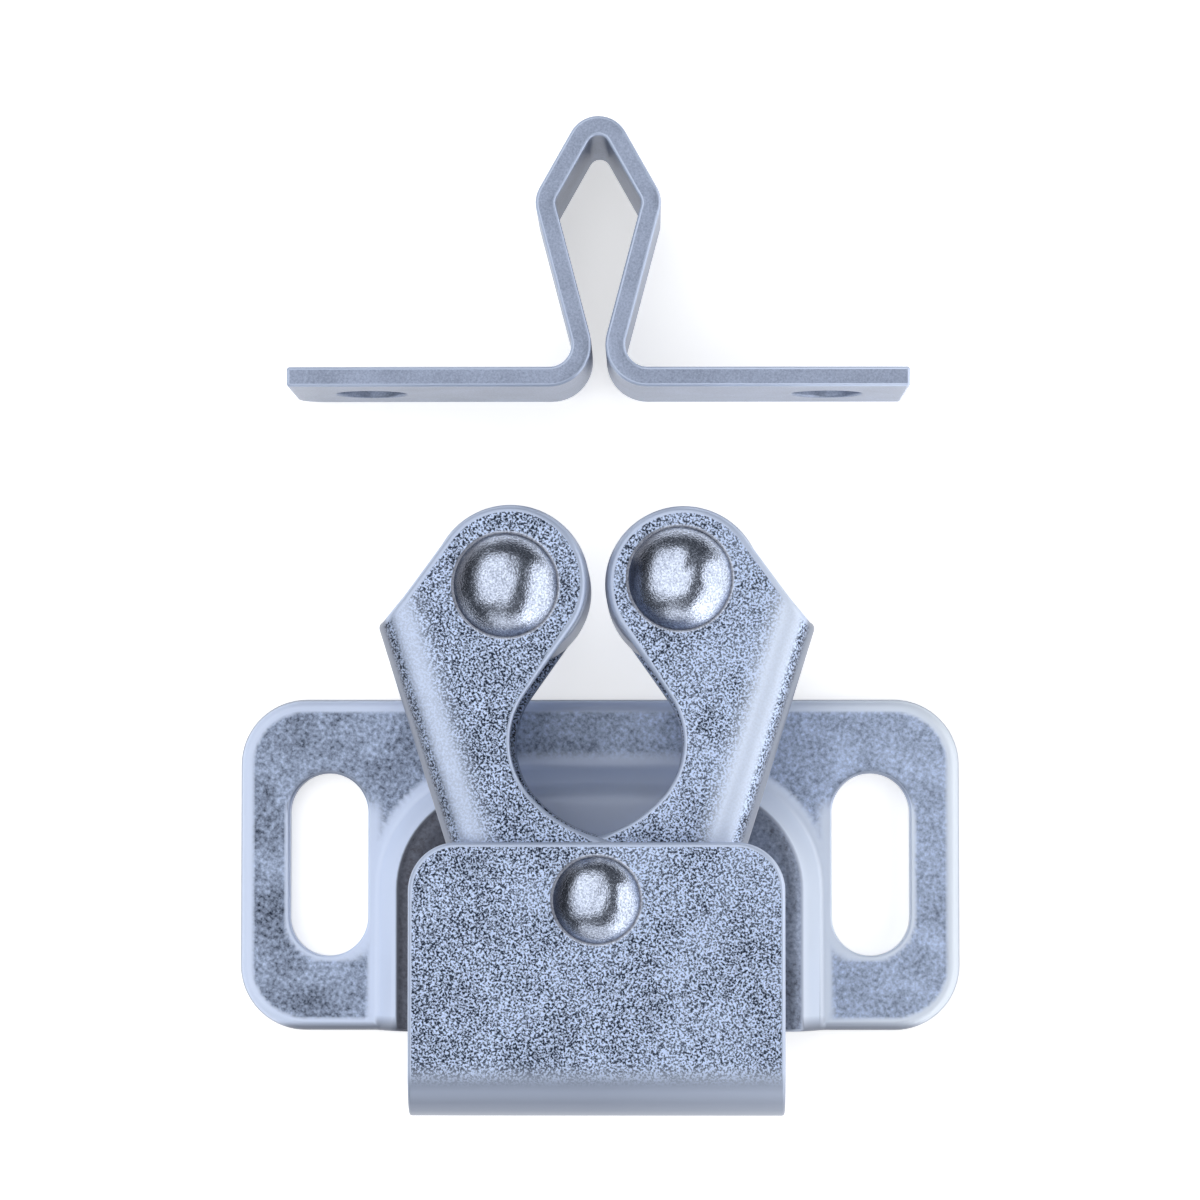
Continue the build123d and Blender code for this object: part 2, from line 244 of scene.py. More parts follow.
class Pen:
    """Draws a flat line of edges in a bmesh, with straight runs and arcs."""

    def __init__(self, bm, start):
        self.bm = bm
        self.tip = bm.verts.new((start[0], start[1], 0.0))
        self.verts = [self.tip]

    def place(self):
        return Vector((self.tip.co.x, self.tip.co.y))

    def line(self, point):
        """A straight run to a point."""
        if (Vector(point) - self.place()).length < 1e-3:
            return
        grown = bmesh.ops.extrude_vert_indiv(self.bm, verts=[self.tip])
        self.tip = grown["verts"][0]
        self.tip.co = (point[0], point[1], 0.0)
        self.verts.append(self.tip)

    def arc(self, centre, turn):
        """An arc about a centre through a signed angle."""
        steps = max(2, ceil(abs(turn) / ROUND_STEP))
        before = set(self.bm.verts)
        spun = bmesh.ops.spin(self.bm, geom=[self.tip], cent=(centre[0], centre[1], 0), axis=(0, 0, 1),
                              dvec=(0, 0, 0), angle=turn, steps=steps, use_merge=False, use_duplicate=False)
        self.verts += sorted((v for v in self.bm.verts if v not in before), key=lambda v: v.index)
        self.tip = [v for v in spun["geom_last"] if isinstance(v, bmesh.types.BMVert)][0]

    def arc_to(self, point, way):
        """An arc that leaves in one direction and ends at a point."""
        chord = Vector(point) - self.place()
        side = left_of(way)
        reach = chord.length_squared / (2 * chord.dot(side))
        turn = 2 * turn_between(way, chord)
        self.arc(self.place() + side * reach, turn)
        self.tip.co = (point[0], point[1], 0.0)

    def through(self, corners):
        """Straight runs through corners (x, y, radius), each rounded; the last is the end."""
        for this, after in zip(corners, corners[1:]):
            here = Vector(this[:2])
            way_in = (here - self.place()).normalized()
            way_out = (Vector(after[:2]) - here).normalized()
            turn = turn_between(way_in, way_out)
            reach = this[2] * tan(abs(turn) / 2)
            self.line(here - way_in * reach)
            if this[2] > 0:
                side = 1 if turn > 0 else -1
                self.arc(self.place() + left_of(way_in) * this[2] * side, turn)
        self.line(corners[-1][:2])

    def edges(self):
        """All the edges along the drawn line."""
        own = set(self.verts)
        return [e for e in self.bm.edges if e.verts[0] in own and e.verts[1] in own]

    def raise_to(self, height):
        """Lifts the drawn line to a height."""
        for vert in self.verts:
            vert.co.z = height


def mirror_about_middle(bm):
    """Adds the mirror image across x = 0 and joins the two."""
    copy = bmesh.ops.duplicate(bm, geom=bm.verts[:] + bm.edges[:])
    verts = [g for g in copy["geom"] if isinstance(g, bmesh.types.BMVert)]
    bmesh.ops.scale(bm, vec=(-1, 1, 1), verts=verts)
    bmesh.ops.remove_doubles(bm, verts=bm.verts[:], dist=TOUCH)


def slab(bm, thickness):
    """Fills the closed outline and gives it a thickness, half above and half below z = 0."""
    bmesh.ops.edgeloop_fill(bm, edges=bm.edges[:])
    grown = bmesh.ops.extrude_face_region(bm, geom=bm.faces[:])
    top = [g for g in grown["geom"] if isinstance(g, bmesh.types.BMVert)]
    bmesh.ops.translate(bm, vec=(0, 0, thickness), verts=top)
    bmesh.ops.translate(bm, vec=(0, 0, -thickness / 2), verts=bm.verts[:])
    bmesh.ops.recalc_face_normals(bm, faces=bm.faces[:])


def thicken(bm, thickness):
    """Gives a smoothly bent surface a wall behind it, square to the surface at every vertex."""
    bm.normal_update()
    ways = {tuple(round(c, 4) for c in v.co): v.normal.copy() for v in bm.verts}
    grown = bmesh.ops.extrude_face_region(bm, geom=bm.faces[:], use_keep_orig=True)
    for vert in [g for g in grown["geom"] if isinstance(g, bmesh.types.BMVert)]:
        vert.co -= ways[tuple(round(c, 4) for c in vert.co)] * thickness
    bmesh.ops.recalc_face_normals(bm, faces=bm.faces[:])


def temporary_object(bm, name):
    """A scene object that holds a bmesh while a modifier works on it."""
    mesh = bpy.data.meshes.new(name)
    for spare in ("plain", "rim"):
        mesh.materials.append(bpy.data.materials.get(spare) or bpy.data.materials.new(spare))
    bm.to_mesh(mesh)
    item = bpy.data.objects.new(name, mesh)
    bpy.context.scene.collection.objects.link(item)
    return item


def baked(item):
    """The bmesh of an object with its modifiers applied; the object is removed."""
    graph = bpy.context.evaluated_depsgraph_get()
    result = bmesh.new()
    mesh = bpy.data.meshes.new_from_object(item.evaluated_get(graph))
    result.from_mesh(mesh)
    bpy.data.meshes.remove(mesh)
    bpy.data.objects.remove(item)
    return result


def rounded_rims(bm, width, share_of, segments=5):
    """Rolls the sharp edges; share_of(edge) says how much of the full width each one gets."""
    weight = bm.edges.layers.float.get("bevel_weight_edge") or bm.edges.layers.float.new("bevel_weight_edge")
    bm.normal_update()
    for edge in bm.edges:
        sharp = len(edge.link_faces) == 2 and edge.calc_face_angle(0) > radians(50)
        edge[weight] = share_of(edge) if sharp else 0.0
    item = temporary_object(bm, "rim work")
    bevel = item.modifiers.new("Rim", "BEVEL")
    bevel.limit_method = "WEIGHT"
    bevel.width = width
    bevel.segments = segments
    bevel.profile = 0.5
    bevel.material = 1
    bevel.use_clamp_overlap = False
    bevel.miter_outer = "MITER_SHARP"
    result = baked(item)
    layer = result.faces.layers.float.new("rolled")
    for face in result.faces:
        if face.material_index == 1:
            face[layer] = 1.0
            face.material_index = 0
    return result


def cut(bm, cutter, operation="DIFFERENCE"):
    """Cuts a bmesh with another, or joins the two."""
    item = temporary_object(bm, "cut work")
    tool = temporary_object(cutter, "cutter work")
    boolean = item.modifiers.new("Cut", "BOOLEAN")
    boolean.operation = operation
    boolean.solver = "EXACT"
    boolean.object = tool
    result = baked(item)
    bpy.data.objects.remove(tool)
    return result


def turned(bm):
    """Spins a profile drawn as (radius, height) round the Z axis into a closed solid."""
    bmesh.ops.rotate(bm, cent=(0, 0, 0), matrix=Matrix.Rotation(radians(90), 3, "X"), verts=bm.verts[:])
    bmesh.ops.spin(bm, geom=bm.verts[:] + bm.edges[:], cent=(0, 0, 0), axis=(0, 0, 1), dvec=(0, 0, 0),
                   angle=2 * pi, steps=TURN_STEPS, use_merge=True, use_duplicate=False)
    bmesh.ops.remove_doubles(bm, verts=bm.verts[:], dist=TOUCH)
    bmesh.ops.recalc_face_normals(bm, faces=bm.faces[:])
    return bm


def hole_cutter(radius, edge, low, high):
    """A turned tool for a round hole from low to high, flared at both ends so that it rolls the rim."""
    bm = bmesh.new()
    over = 0.3
    pen = Pen(bm, (0, low - over))
    pen.line((radius + edge, low - over))
    pen.line((radius + edge, low))
    if edge > 0:
        pen.arc((radius + edge, low + edge), -pi / 2)
        pen.line((radius, high - edge))
        pen.arc((radius + edge, high - edge), -pi / 2)
    pen.line((radius + edge, high + over))
    pen.line((0, high + over))
    return turned(bm)


class Fold:
    """The middle line of a bent sheet: straight runs and arcs, measured along the line."""

    def __init__(self, corners, radii):
        points = [Vector(c) for c in corners]
        self.parts = []
        self.total = 0.0
        tip = points[0]
        for here, after, radius in zip(points[1:-1], points[2:], radii):
            way_in = (here - tip).normalized()
            way_out = (after - here).normalized()
            turn = turn_between(way_in, way_out)
            reach = radius * tan(abs(turn) / 2)
            self.add(tip, way_in, (here - way_in * reach - tip).length, 0.0)
            self.add(here - way_in * reach, way_in, radius * abs(turn), turn)
            tip = here + way_out * reach
        self.add(tip, (points[-1] - tip).normalized(), (points[-1] - tip).length, 0.0)

    def add(self, start, way, run, turn):
        self.parts.append((self.total, start, way, run, turn))
        self.total += run

    def bends(self):
        """Start and end of each bend along the line."""
        return [(at, at + run) for at, _, _, run, turn in self.parts if turn]

    def at(self, along, aside):
        """The point so far along the line and so far to its left."""
        chosen = self.parts[0]
        for part in self.parts:
            if along >= part[0]:
                chosen = part
        at, start, way, run, turn = chosen
        if not turn:
            return start + way * (along - at) + left_of(way) * aside
        side = 1 if turn > 0 else -1
        radius = run / abs(turn)
        centre = start + left_of(way) * radius * side
        spoke = (start + left_of(way) * aside) - centre
        swing = turn * (along - at) / run
        return centre + Vector((spoke.x * cos(swing) - spoke.y * sin(swing),
                                spoke.x * sin(swing) + spoke.y * cos(swing)))


def score_bends(bm, fold, steps):
    """Cuts the flat blank across x at each bend."""
    for start, end in fold.bends():
        for k in range(steps + 1):
            at = start + (end - start) * k / steps
            geom = bm.verts[:] + bm.edges[:] + bm.faces[:]
            bmesh.ops.bisect_plane(bm, geom=geom, dist=1e-5, plane_co=(at, 0, 0), plane_no=(1, 0, 0),
                                   use_snap_center=False, clear_outer=False, clear_inner=False)


def grid_flats(bm, step):
    """Cuts the flat faces that look forward into a grid, so that a value can change across them."""
    level = 0.999
    for axis in (0, 1):
        way = (1, 0, 0) if axis == 0 else (0, 1, 0)
        flats = [f for f in bm.faces if f.normal.z > level]
        low = min(v.co[axis] for f in flats for v in f.verts)
        high = max(v.co[axis] for f in flats for v in f.verts)
        for k in range(1, ceil((high - low) / step)):
            at = low + step * k
            faces = [f for f in bm.faces if f.normal.z > level and
                     min(v.co[axis] for v in f.verts) < at - TOUCH and
                     max(v.co[axis] for v in f.verts) > at + TOUCH]
            geom = list({v for f in faces for v in f.verts} | {e for f in faces for e in f.edges}) + faces
            place = (at, 0, 0) if axis == 0 else (0, at, 0)
            bmesh.ops.bisect_plane(bm, geom=geom, dist=TOUCH, plane_co=place, plane_no=way,
                                   use_snap_center=False, clear_outer=False, clear_inner=False)
    bm.normal_update()


def fade(distance, start, end):
    """1 up to a start distance, falling smoothly to 0 at the end distance."""
    share = min(1.0, max(0.0, (end - distance) / (end - start)))
    return share * share * (3 - 2 * share)


def finish_piece(name, bm, material, body, nodes):
    """Makes the finished object in metres, shades it, ties it to its body and hides the nodes that it stands
    in for.
    """
    bmesh.ops.scale(bm, vec=(MM, MM, MM), verts=bm.verts[:])
    mesh = bpy.data.meshes.new(name)
    bm.to_mesh(mesh)
    bm.free()
    mesh.materials.clear()
    mesh.materials.append(material)
    mesh.polygons.foreach_set("material_index", [0] * len(mesh.polygons))
    mesh.polygons.foreach_set("use_smooth", [True] * len(mesh.polygons))
    mesh.set_sharp_from_angle(angle=SHARP)
    piece = bpy.data.objects.new(name, mesh)
    bpy.context.scene.collection.objects.link(piece)
    weighted = piece.modifiers.new("Weighted Normal", "WEIGHTED_NORMAL")
    weighted.keep_sharp = True
    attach(piece, body)
    for node in nodes:
        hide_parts(node)
    return piece


def add_node(tree, kind, links=(), values=(), **settings):
    """Adds a node. A link is (input, other node, output), a value is (input, number or colour), and a
    setting names an attribute or an input."""
    item = tree.nodes.new(kind)
    for key, value in settings.items():
        if hasattr(item, key):
            setattr(item, key, value)
        else:
            item.inputs[key.replace("_", " ")].default_value = value
    for socket, value in values:
        item.inputs[socket].default_value = value
    for socket, other, output in links:
        tree.links.new(other.outputs[output], item.inputs[socket])
    return item


def blank_material(name):
    """A new material with its tree and its main shader."""
    material = bpy.data.materials.new(name)
    material.use_nodes = True
    tree = material.node_tree
    return material, tree, tree.nodes["Principled BSDF"]


def zinc_plate(name, c, pale, dark, smooth, contrast, rough=0.42, metal=0.65, relief=0.3):
    """Electroplated zinc with a blue passivation on rolled sheet: fine bright crystals between dark pits,
    softer clouds on the ears, smooth where the sheet is bent, with a painted sheen there, painted highlight
    on the walls and in the pocket, and painted shade in the hollows and along the edges."""
    clouds_wide, stain_wide = 2 * c.grain, 2.0
    rise_per_m, stain_strength, stain_mean = 9.0, 0.8, 0.41
    material, tree, shader = blank_material(name)
    place = add_node(tree, "ShaderNodeTexCoord")
    # turned a little on all axes, so that the pattern's own lattice doesn't run along the edges
    in_mm = add_node(tree, "ShaderNodeMapping", [("Vector", place, "Object")], Scale=(1000, 1000, 1000),
                     Rotation=(0.6, 0.5, 0.7))
    # a crystal and the pit beside it together are about a grain wide
    crystals = add_node(tree, "ShaderNodeTexNoise", [("Vector", in_mm, "Vector")], Scale=1 / c.grain,
                        Detail=2.0, Roughness=0.6)
    sharp = add_node(tree, "ShaderNodeMapRange", [("Value", crystals, 0)], From_Min=0.5 - contrast,
                     From_Max=0.5 + contrast)
    # the ears' plating lies in softer clouds, twice as wide and less dark
    clouds = add_node(tree, "ShaderNodeTexNoise", [("Vector", in_mm, "Vector")], Scale=1 / clouds_wide,
                      Detail=3.0, Roughness=0.6)
    soft = add_node(tree, "ShaderNodeMapRange", [("Value", clouds, 0)], From_Min=0.12, From_Max=0.85)
    is_cloudy = add_node(tree, "ShaderNodeAttribute", attribute_name="cloudy")
    mixed = add_node(tree, "ShaderNodeMix", [(0, is_cloudy, "Fac"), (2, sharp, 0), (3, soft, 0)],
                     data_type="FLOAT")
    # slow stains, a few millimetres wide, lighten and darken the whole sheet a little, and painted light
    # makes it paler toward the right end
    stains = add_node(tree, "ShaderNodeTexNoise", [("Vector", in_mm, "Vector")], Scale=1 / stain_wide,
                      Detail=3.0)
    parts = add_node(tree, "ShaderNodeSeparateXYZ", [("Vector", place, "Object")])
    lit_toward_right = add_node(tree, "ShaderNodeMath", [(0, parts, "X"), (2, mixed, 0)], [(1, rise_per_m)],
                       operation="MULTIPLY_ADD")
    stained = add_node(tree, "ShaderNodeMath", [(0, stains, 0), (2, lit_toward_right, 0)], [(1, stain_strength)],
                       operation="MULTIPLY_ADD")
    level = add_node(tree, "ShaderNodeMath", [(0, stained, 0)], [(1, stain_mean)], operation="SUBTRACT",
                     use_clamp=True)
    grained = add_node(tree, "ShaderNodeMix", [(0, level, 0)], [(6, (*dark, 1)), (7, (*pale, 1))],
                       data_type="RGBA")
    # the smooth plating over bends and edges, with the painted sheen laid on it
    stretched = add_node(tree, "ShaderNodeAttribute", attribute_name="smooth_and_sheen")
    rolled = add_node(tree, "ShaderNodeAttribute", attribute_name="rolled")
    bent = add_node(tree, "ShaderNodeMath", [(0, stretched, "Fac"), (1, rolled, "Fac")], operation="MAXIMUM")
    # where painted highlight and painted shade are laid on
    highlit = add_node(tree, "ShaderNodeAttribute", attribute_name="painted_highlight")
    shaded = add_node(tree, "ShaderNodeAttribute", attribute_name="painted_shade")
    # painted light: what is smooth or under painted highlight is paler still from the middle to the right
    # end, 16 mm out
    paler = add_node(tree, "ShaderNodeMapRange", [("Value", parts, "X")], From_Max=16 * MM)
    # over the grain go the smooth plating with its painted sheen, then the painted highlight, then the
    # painted shade
    colour_now = grained
    for mask, output, left, right in ((bent, 0, smooth, c.bright), (highlit, "Fac", c.bright, c.brightest),
                                      (shaded, "Fac", c.painted_shade, c.painted_shade)):
        there = add_node(tree, "ShaderNodeMix", [(0, paler, 0)], [(6, (*left, 1)), (7, (*right, 1))],
                         data_type="RGBA")
        colour_now = add_node(tree, "ShaderNodeMix", [(0, mask, output), (6, colour_now, 2), (7, there, 2)],
                              data_type="RGBA")
    tree.links.new(colour_now.outputs[2], shader.inputs["Base Color"])
    # smooth plating is a little glossier, and paler under its clear film than the open crystals; under the
    # painted highlight it is glossier and hardly metallic, which makes it paler still
    for socket, low, high, at_highlight in (("Roughness", rough, rough - 0.1, rough - 0.1),
                                     ("Metallic", metal, metal * 0.45, metal * 0.1)):
        varied = add_node(tree, "ShaderNodeMapRange", [("Value", bent, 0)], To_Min=low, To_Max=high)
        final = add_node(tree, "ShaderNodeMapRange", [("Value", highlit, "Fac"), ("To Min", varied, 0)],
                         To_Max=at_highlight)
        tree.links.new(final.outputs[0], shader.inputs[socket])
    # the crystals stand up from open plating, and hardly from smooth
    depth = add_node(tree, "ShaderNodeMath", [(0, bent, 0)], [(1, -0.85 * relief), (2, relief)],
                     operation="MULTIPLY_ADD")
    bump = add_node(tree, "ShaderNodeBump", [("Height", mixed, 0), ("Strength", depth, 0)],
                    Distance=0.02 * MM)
    tree.links.new(bump.outputs["Normal"], shader.inputs["Normal"])
    return material


def finish_for(slot):
    """One of the finishes, made the first time that it is asked for."""
    c = sizes("catch_colours")
    name, pale, dark, smooth, character = {
        # coarse rolled sheet: hard-edged speckles of pale crystals and dark pits
        "bracket": ("blue zinc on bracket sheet", c.pale, c.dark, c.smooth, {"contrast": 0.085}),
        "jaw": ("blue zinc on jaw sheet", c.pale, c.dark, c.smooth, {"contrast": 0.085}),
        # finer strip: a soft, even, slightly glossier grey blue
        "strike": ("satin blue zinc", c.satin, c.satin_dark, c.smooth, {"contrast": 0.3, "rough": 0.36}),
        # struck steel: mirrors the lamps in its hammer marks
        "rivet": ("zinc on struck steel", c.rivet, c.rivet_dark, c.rivet,
                  {"contrast": 0.2, "rough": 0.2, "metal": 1.0, "relief": 0.32}),
        # plain steel, turned and drawn: one tone, without pits
        "roller": ("turned steel", c.roller, c.roller, c.roller,
                   {"contrast": 0.3, "rough": 0.35, "metal": 0.45}),
        "wire": ("drawn spring wire", c.wire, c.wire, c.wire, {"contrast": 0.3, "rough": 0.3, "metal": 0.9}),
    }[slot]
    return bpy.data.materials.get(name) or zinc_plate(name, c, pale, dark, smooth, **character)


def depth_inside(x, y, half_x, half_y, radius):
    """How far a place lies inside a rounded rectangle about the origin; negative outside it."""
    over = Vector((max(abs(x) - half_x + radius, 0), max(abs(y) - half_y + radius, 0)))
    return radius - over.length


def placed(bm, offset):
    """Moves a tool or a part to its place and returns it."""
    bmesh.ops.translate(bm, vec=offset, verts=bm.verts[:])
    return bm


def middle_of(edge):
    """The place half way along an edge."""
    return (edge.verts[0].co + edge.verts[1].co) / 2


class BracketPlan:
    """The bracket's main lines, worked out from its sizes, and what lies where on it."""

    def __init__(self, s):
        self.s = s
        # how wide the sloped wall is in plan, and the narrow faces along the ears' outline
        self.run = s.rise / tan(s.slope)
        self.band = s.ear_edge + 0.2
        # along Y: the ears' lower edge, where the fold begins, and where the flap's corners begin
        self.low = -s.height / 2
        self.turn_y = s.fold_bottom + s.sheet + s.fold_r
        self.corner_y = s.flap_top - s.flap_corner_r
        # along Z: the raised middle's front and the flap's back
        self.front = s.sheet + s.rise
        self.back = s.flap_front - s.sheet
        # the pocket between the jaws, which gets painted highlight, ends softly this far from the middle
        self.pocket_ends = (4.5, 6.0)

    def ear_depth(self, place):
        """How far inside the ears' outline a place lies."""
        return depth_inside(place.x, place.y, self.s.span / 2, self.s.height / 2, self.s.corner_r)

    def slot_depth(self, place):
        """How far inside the nearer slot's outline a place lies."""
        s = self.s
        return depth_inside(abs(place.x) - s.slot_spacing / 2, place.y, s.slot_width / 2,
                            s.slot_length / 2, s.slot_width / 2)

    def share_of(self, edge):
        """The ears' front edge is rolled most, the flap's and the slots' less, the rest hardly."""
        s = self.s
        near, other_edge = 0.05, 0.12
        middle = middle_of(edge)
        on_ear = abs(middle.z - s.sheet) < 0.01
        if middle.z > s.flap_front - 0.1:
            return s.flap_edge / s.ear_edge
        if on_ear and abs(self.ear_depth(middle)) < near:
            return 1.0
        if on_ear and abs(self.slot_depth(middle)) < near:
            return s.slot_edge / s.ear_edge
        return other_edge / s.ear_edge

    def smoothness(self, place):
        """How far the plating is stretched smooth at a place, with painted sheen laid on the same places: 1
        on bends and rolled edges.
        """
        s = self.s
        if place.y < self.turn_y - 0.5 or self.front + 0.1 < place.z < self.back - 0.1:
            return 1.0
        if place.z >= self.back - 0.1:
            return fade(place.y - self.turn_y, -0.9, 0.5)
        foot_in = s.platform_corner_r + self.run - Vector((
            max(abs(place.x) - s.platform_width / 2 + s.platform_corner_r, 0),
            max(place.y - s.platform_top + s.platform_corner_r, 0))).length
        # on the raised middle only its pocket is smooth, and the wall round it all over
        if foot_in > self.run:
            return fade(abs(place.x), *self.pocket_ends)
        if foot_in > 0:
            return 1.0
        # on the ears: round the slots, wider on their inner side and with no painted sheen at their upper
        # ends, along the wall, and the rolled edge
        beside = -self.slot_depth(place)
        inner = fade(abs(place.x), (s.slot_spacing - s.slot_width) / 2 - 0.2, s.slot_spacing / 2)
        near_slot = fade(beside, 0.1 + 0.2 * inner, 0.3 + 0.5 * inner)
        beside_pocket = 1 - fade(abs(place.x), 5.0, 7.5)
        foot_band = fade(-foot_in, 0.3 * beside_pocket, 0.9 - 0.3 * beside_pocket)
        return max(near_slot * fade(place.y, 2.0, 3.3), foot_band,
                   fade(self.ear_depth(place), s.ear_edge - 0.05, s.ear_edge + 0.15))


class CATCH_OT_bracket(bpy.types.Operator):
    """Presses and folds the bracket: ears with slots, raised platform, fold and front flap"""
    bl_idname = "catch.bracket"
    bl_label = "Bracket"

    def execute(self, context):
        s = sizes("catch_bracket")
        plan = BracketPlan(s)
        bm = bmesh.new()
        foot, top = self.press_wall(bm, plan)
        self.lay_ears(bm, plan, foot)
        self.fold_strip(bm, plan, top)
        thicken(bm, s.sheet)
        bm = rounded_rims(bm, s.ear_edge, plan.share_of)
        grid_flats(bm, 0.25)
        bm = cut(bm, placed(hole_cutter(sizes("catch_rivets").pivot_shank_r, 0, 0.5, s.flap_front + 1),
                            (0, sizes("catch_jaws").pivot_y, 0)))
        self.plate(bm, plan)
        finish_piece("folded_bracket", bm, finish_for("bracket"), "base", ["base_bracket"])
        return {"FINISHED"}

    def press_wall(self, bm, plan):
        """Makes the sloped wall round the raised middle; returns half its width at the foot and the top."""
        s, low = plan.s, plan.low
        # the wall's section as (inset, height of its front), rounded at the foot and the top
        foot_reach = s.slope_r * tan(s.slope / 2)
        top_reach = (s.slope_r + s.sheet) * tan(s.slope / 2)
        profile = bmesh.new()
        pen = Pen(profile, (-foot_reach, s.sheet))
        pen.through([(0, s.sheet, s.slope_r), (plan.run, plan.front, s.slope_r + s.sheet),
                     (plan.run + top_reach, plan.front, 0)])
        steps = [(v.co.x, v.co.y) for v in pen.verts]
        profile.free()
        rings = []
        for inset, height in steps:
            half = s.platform_width / 2 + plan.run - inset
            top = s.platform_top + plan.run - inset
            radius = s.platform_corner_r + plan.run - inset
            ring = Pen(bm, (half, low))
            ring.line((half, low + plan.band))
            ring.through([(half, top, radius), (-half, top, radius), (-half, low + plan.band, 0)])
            ring.line((-half, low))
            ring.raise_to(height)
            rings.append(ring)
        for outer, inner in zip(rings, rings[1:]):
            bmesh.ops.bridge_loops(bm, edges=outer.edges() + inner.edges())
        return rings[0].verts[0].co.x, rings[-1].verts[0].co.x

    def lay_ears(self, bm, plan, foot):
        """Lays the ears: a band along the outline, a band round each slot, and the flat between them."""
        s = plan.s

        def ear_line(inset):
            right, high = s.span / 2 - inset, s.height / 2 - inset
            r = s.corner_r - inset
            line = Pen(bm, (foot, -high))
            line.through([(right, -high, r), (right, high, r), (-right, high, r), (-right, -high, r),
                          (-foot, -high, 0)])
            line.raise_to(s.sheet)
            return line

        def slot_line(centre, grow):
            w, h = s.slot_width / 2 + grow, s.slot_length / 2 + grow
            line = Pen(bm, (centre + w, 0))
            line.through([(centre + w, h, w), (centre - w, h, w), (centre - w, -h, w),
                          (centre + w, -h, w), (centre + w, 0, 0)])
            line.raise_to(s.sheet)
            return line

        outline, inner_line = ear_line(0), ear_line(plan.band)
        bmesh.ops.bridge_loops(bm, edges=outline.edges() + inner_line.edges())
        slot_band = s.slot_edge + 0.04
        pairs = [(slot_line(centre, 0), slot_line(centre, slot_band))
                 for centre in (-s.slot_spacing / 2, s.slot_spacing / 2)]
        for small, large in pairs:
            bmesh.ops.bridge_loops(bm, edges=small.edges() + large.edges())
        bmesh.ops.remove_doubles(bm, verts=bm.verts[:], dist=TOUCH)
        flat = []
        for edge in bm.edges:
            middle = middle_of(edge)
            level = all(abs(v.co.z - s.sheet) < TOUCH for v in edge.verts)
            open_side = len(edge.link_faces) == 1 and middle.y > plan.low + plan.band - TOUCH
            on_band = plan.ear_depth(middle) > plan.band / 2 and plan.slot_depth(middle) < -s.slot_edge / 2
            if level and open_side and on_band:
                flat.append(edge)
        bmesh.ops.triangle_fill(bm, use_beauty=True, use_dissolve=False, edges=flat, normal=(0, 0, 1))

    def fold_strip(self, bm, plan, top):
        """Closes the raised middle; below it the strip runs down, folds forward and stands up as the flap."""
        s, low, front, back = plan.s, plan.low, plan.front, plan.back
        half = s.flap_width / 2
        floor = Pen(bm, (top, low))
        for x in (half, -half, -top):
            floor.line((x, low))
        floor.raise_to(front)
        bmesh.ops.remove_doubles(bm, verts=bm.verts[:], dist=TOUCH)
        loop = [e for e in bm.edges if len(e.link_faces) < 2 and
                all(abs(v.co.z - front) < TOUCH for v in e.verts)]
        bmesh.ops.edgeloop_fill(bm, edges=loop)

        edge = [e for e in bm.edges if all(abs(v.co.y - low) < TOUCH and abs(abs(v.co.x) - half) < TOUCH
                                           for v in e.verts)]
        edge = self.grow(bm, edge, (0, plan.turn_y - low, 0))
        edge = self.swing(bm, edge, (0, plan.turn_y, front + s.fold_r))
        edge = self.grow(bm, edge, (0, 0, back - front - 2 * s.fold_r))
        edge = self.swing(bm, edge, (0, plan.turn_y, back - s.fold_r))
        self.grow(bm, edge, (0, plan.corner_y - plan.turn_y, 0))
        tip = Pen(bm, (half, plan.corner_y))
        tip.arc((half - s.flap_corner_r, plan.corner_y), pi / 2)
        tip.line((-half + s.flap_corner_r, s.flap_top))
        tip.arc((-half + s.flap_corner_r, plan.corner_y), pi / 2)
        tip.raise_to(back)
        bmesh.ops.remove_doubles(bm, verts=bm.verts[:], dist=TOUCH)
        end = [e for e in bm.edges if all(abs(v.co.z - back) < TOUCH for v in e.verts) and
               min(v.co.y for v in e.verts) > plan.corner_y - TOUCH and len(e.link_faces) < 2]
        bmesh.ops.edgeloop_fill(bm, edges=end)
        seam = [e for e in bm.edges if len(e.link_faces) == 2 and
                all(abs(v.co.z - back) < TOUCH and abs(v.co.y - plan.corner_y) < TOUCH for v in e.verts)]
        bmesh.ops.dissolve_edges(bm, edges=seam, use_verts=False)

        # the side that is drawn is the ears' front, which the fold turns into the flap's back
        bmesh.ops.recalc_face_normals(bm, faces=bm.faces[:])
        highest = max(bm.faces, key=lambda f: f.calc_center_median().z if abs(f.normal.z) > 0.9 else -1)
        if highest.normal.z > 0:
            bmesh.ops.reverse_faces(bm, faces=bm.faces[:])

    def grow(self, bm, edges, way):
        """Draws the edges out along a straight run and returns their new place."""
        grown = bmesh.ops.extrude_edge_only(bm, edges=edges)
        verts = [g for g in grown["geom"] if isinstance(g, bmesh.types.BMVert)]
        bmesh.ops.translate(bm, vec=way, verts=verts)
        return [g for g in grown["geom"] if isinstance(g, bmesh.types.BMEdge) and
                all(v in verts for v in g.verts)]

    def swing(self, bm, edges, centre):
        """Folds on through a quarter turn about a line along X and returns the edges' new place."""
        fold_steps = 14
        verts = list({v for e in edges for v in e.verts})
        spun = bmesh.ops.spin(bm, geom=verts + list(edges), cent=centre, axis=(1, 0, 0), dvec=(0, 0, 0),
                              angle=-pi / 2, steps=fold_steps, use_merge=False, use_duplicate=False)
        return [g for g in spun["geom_last"] if isinstance(g, bmesh.types.BMEdge)]

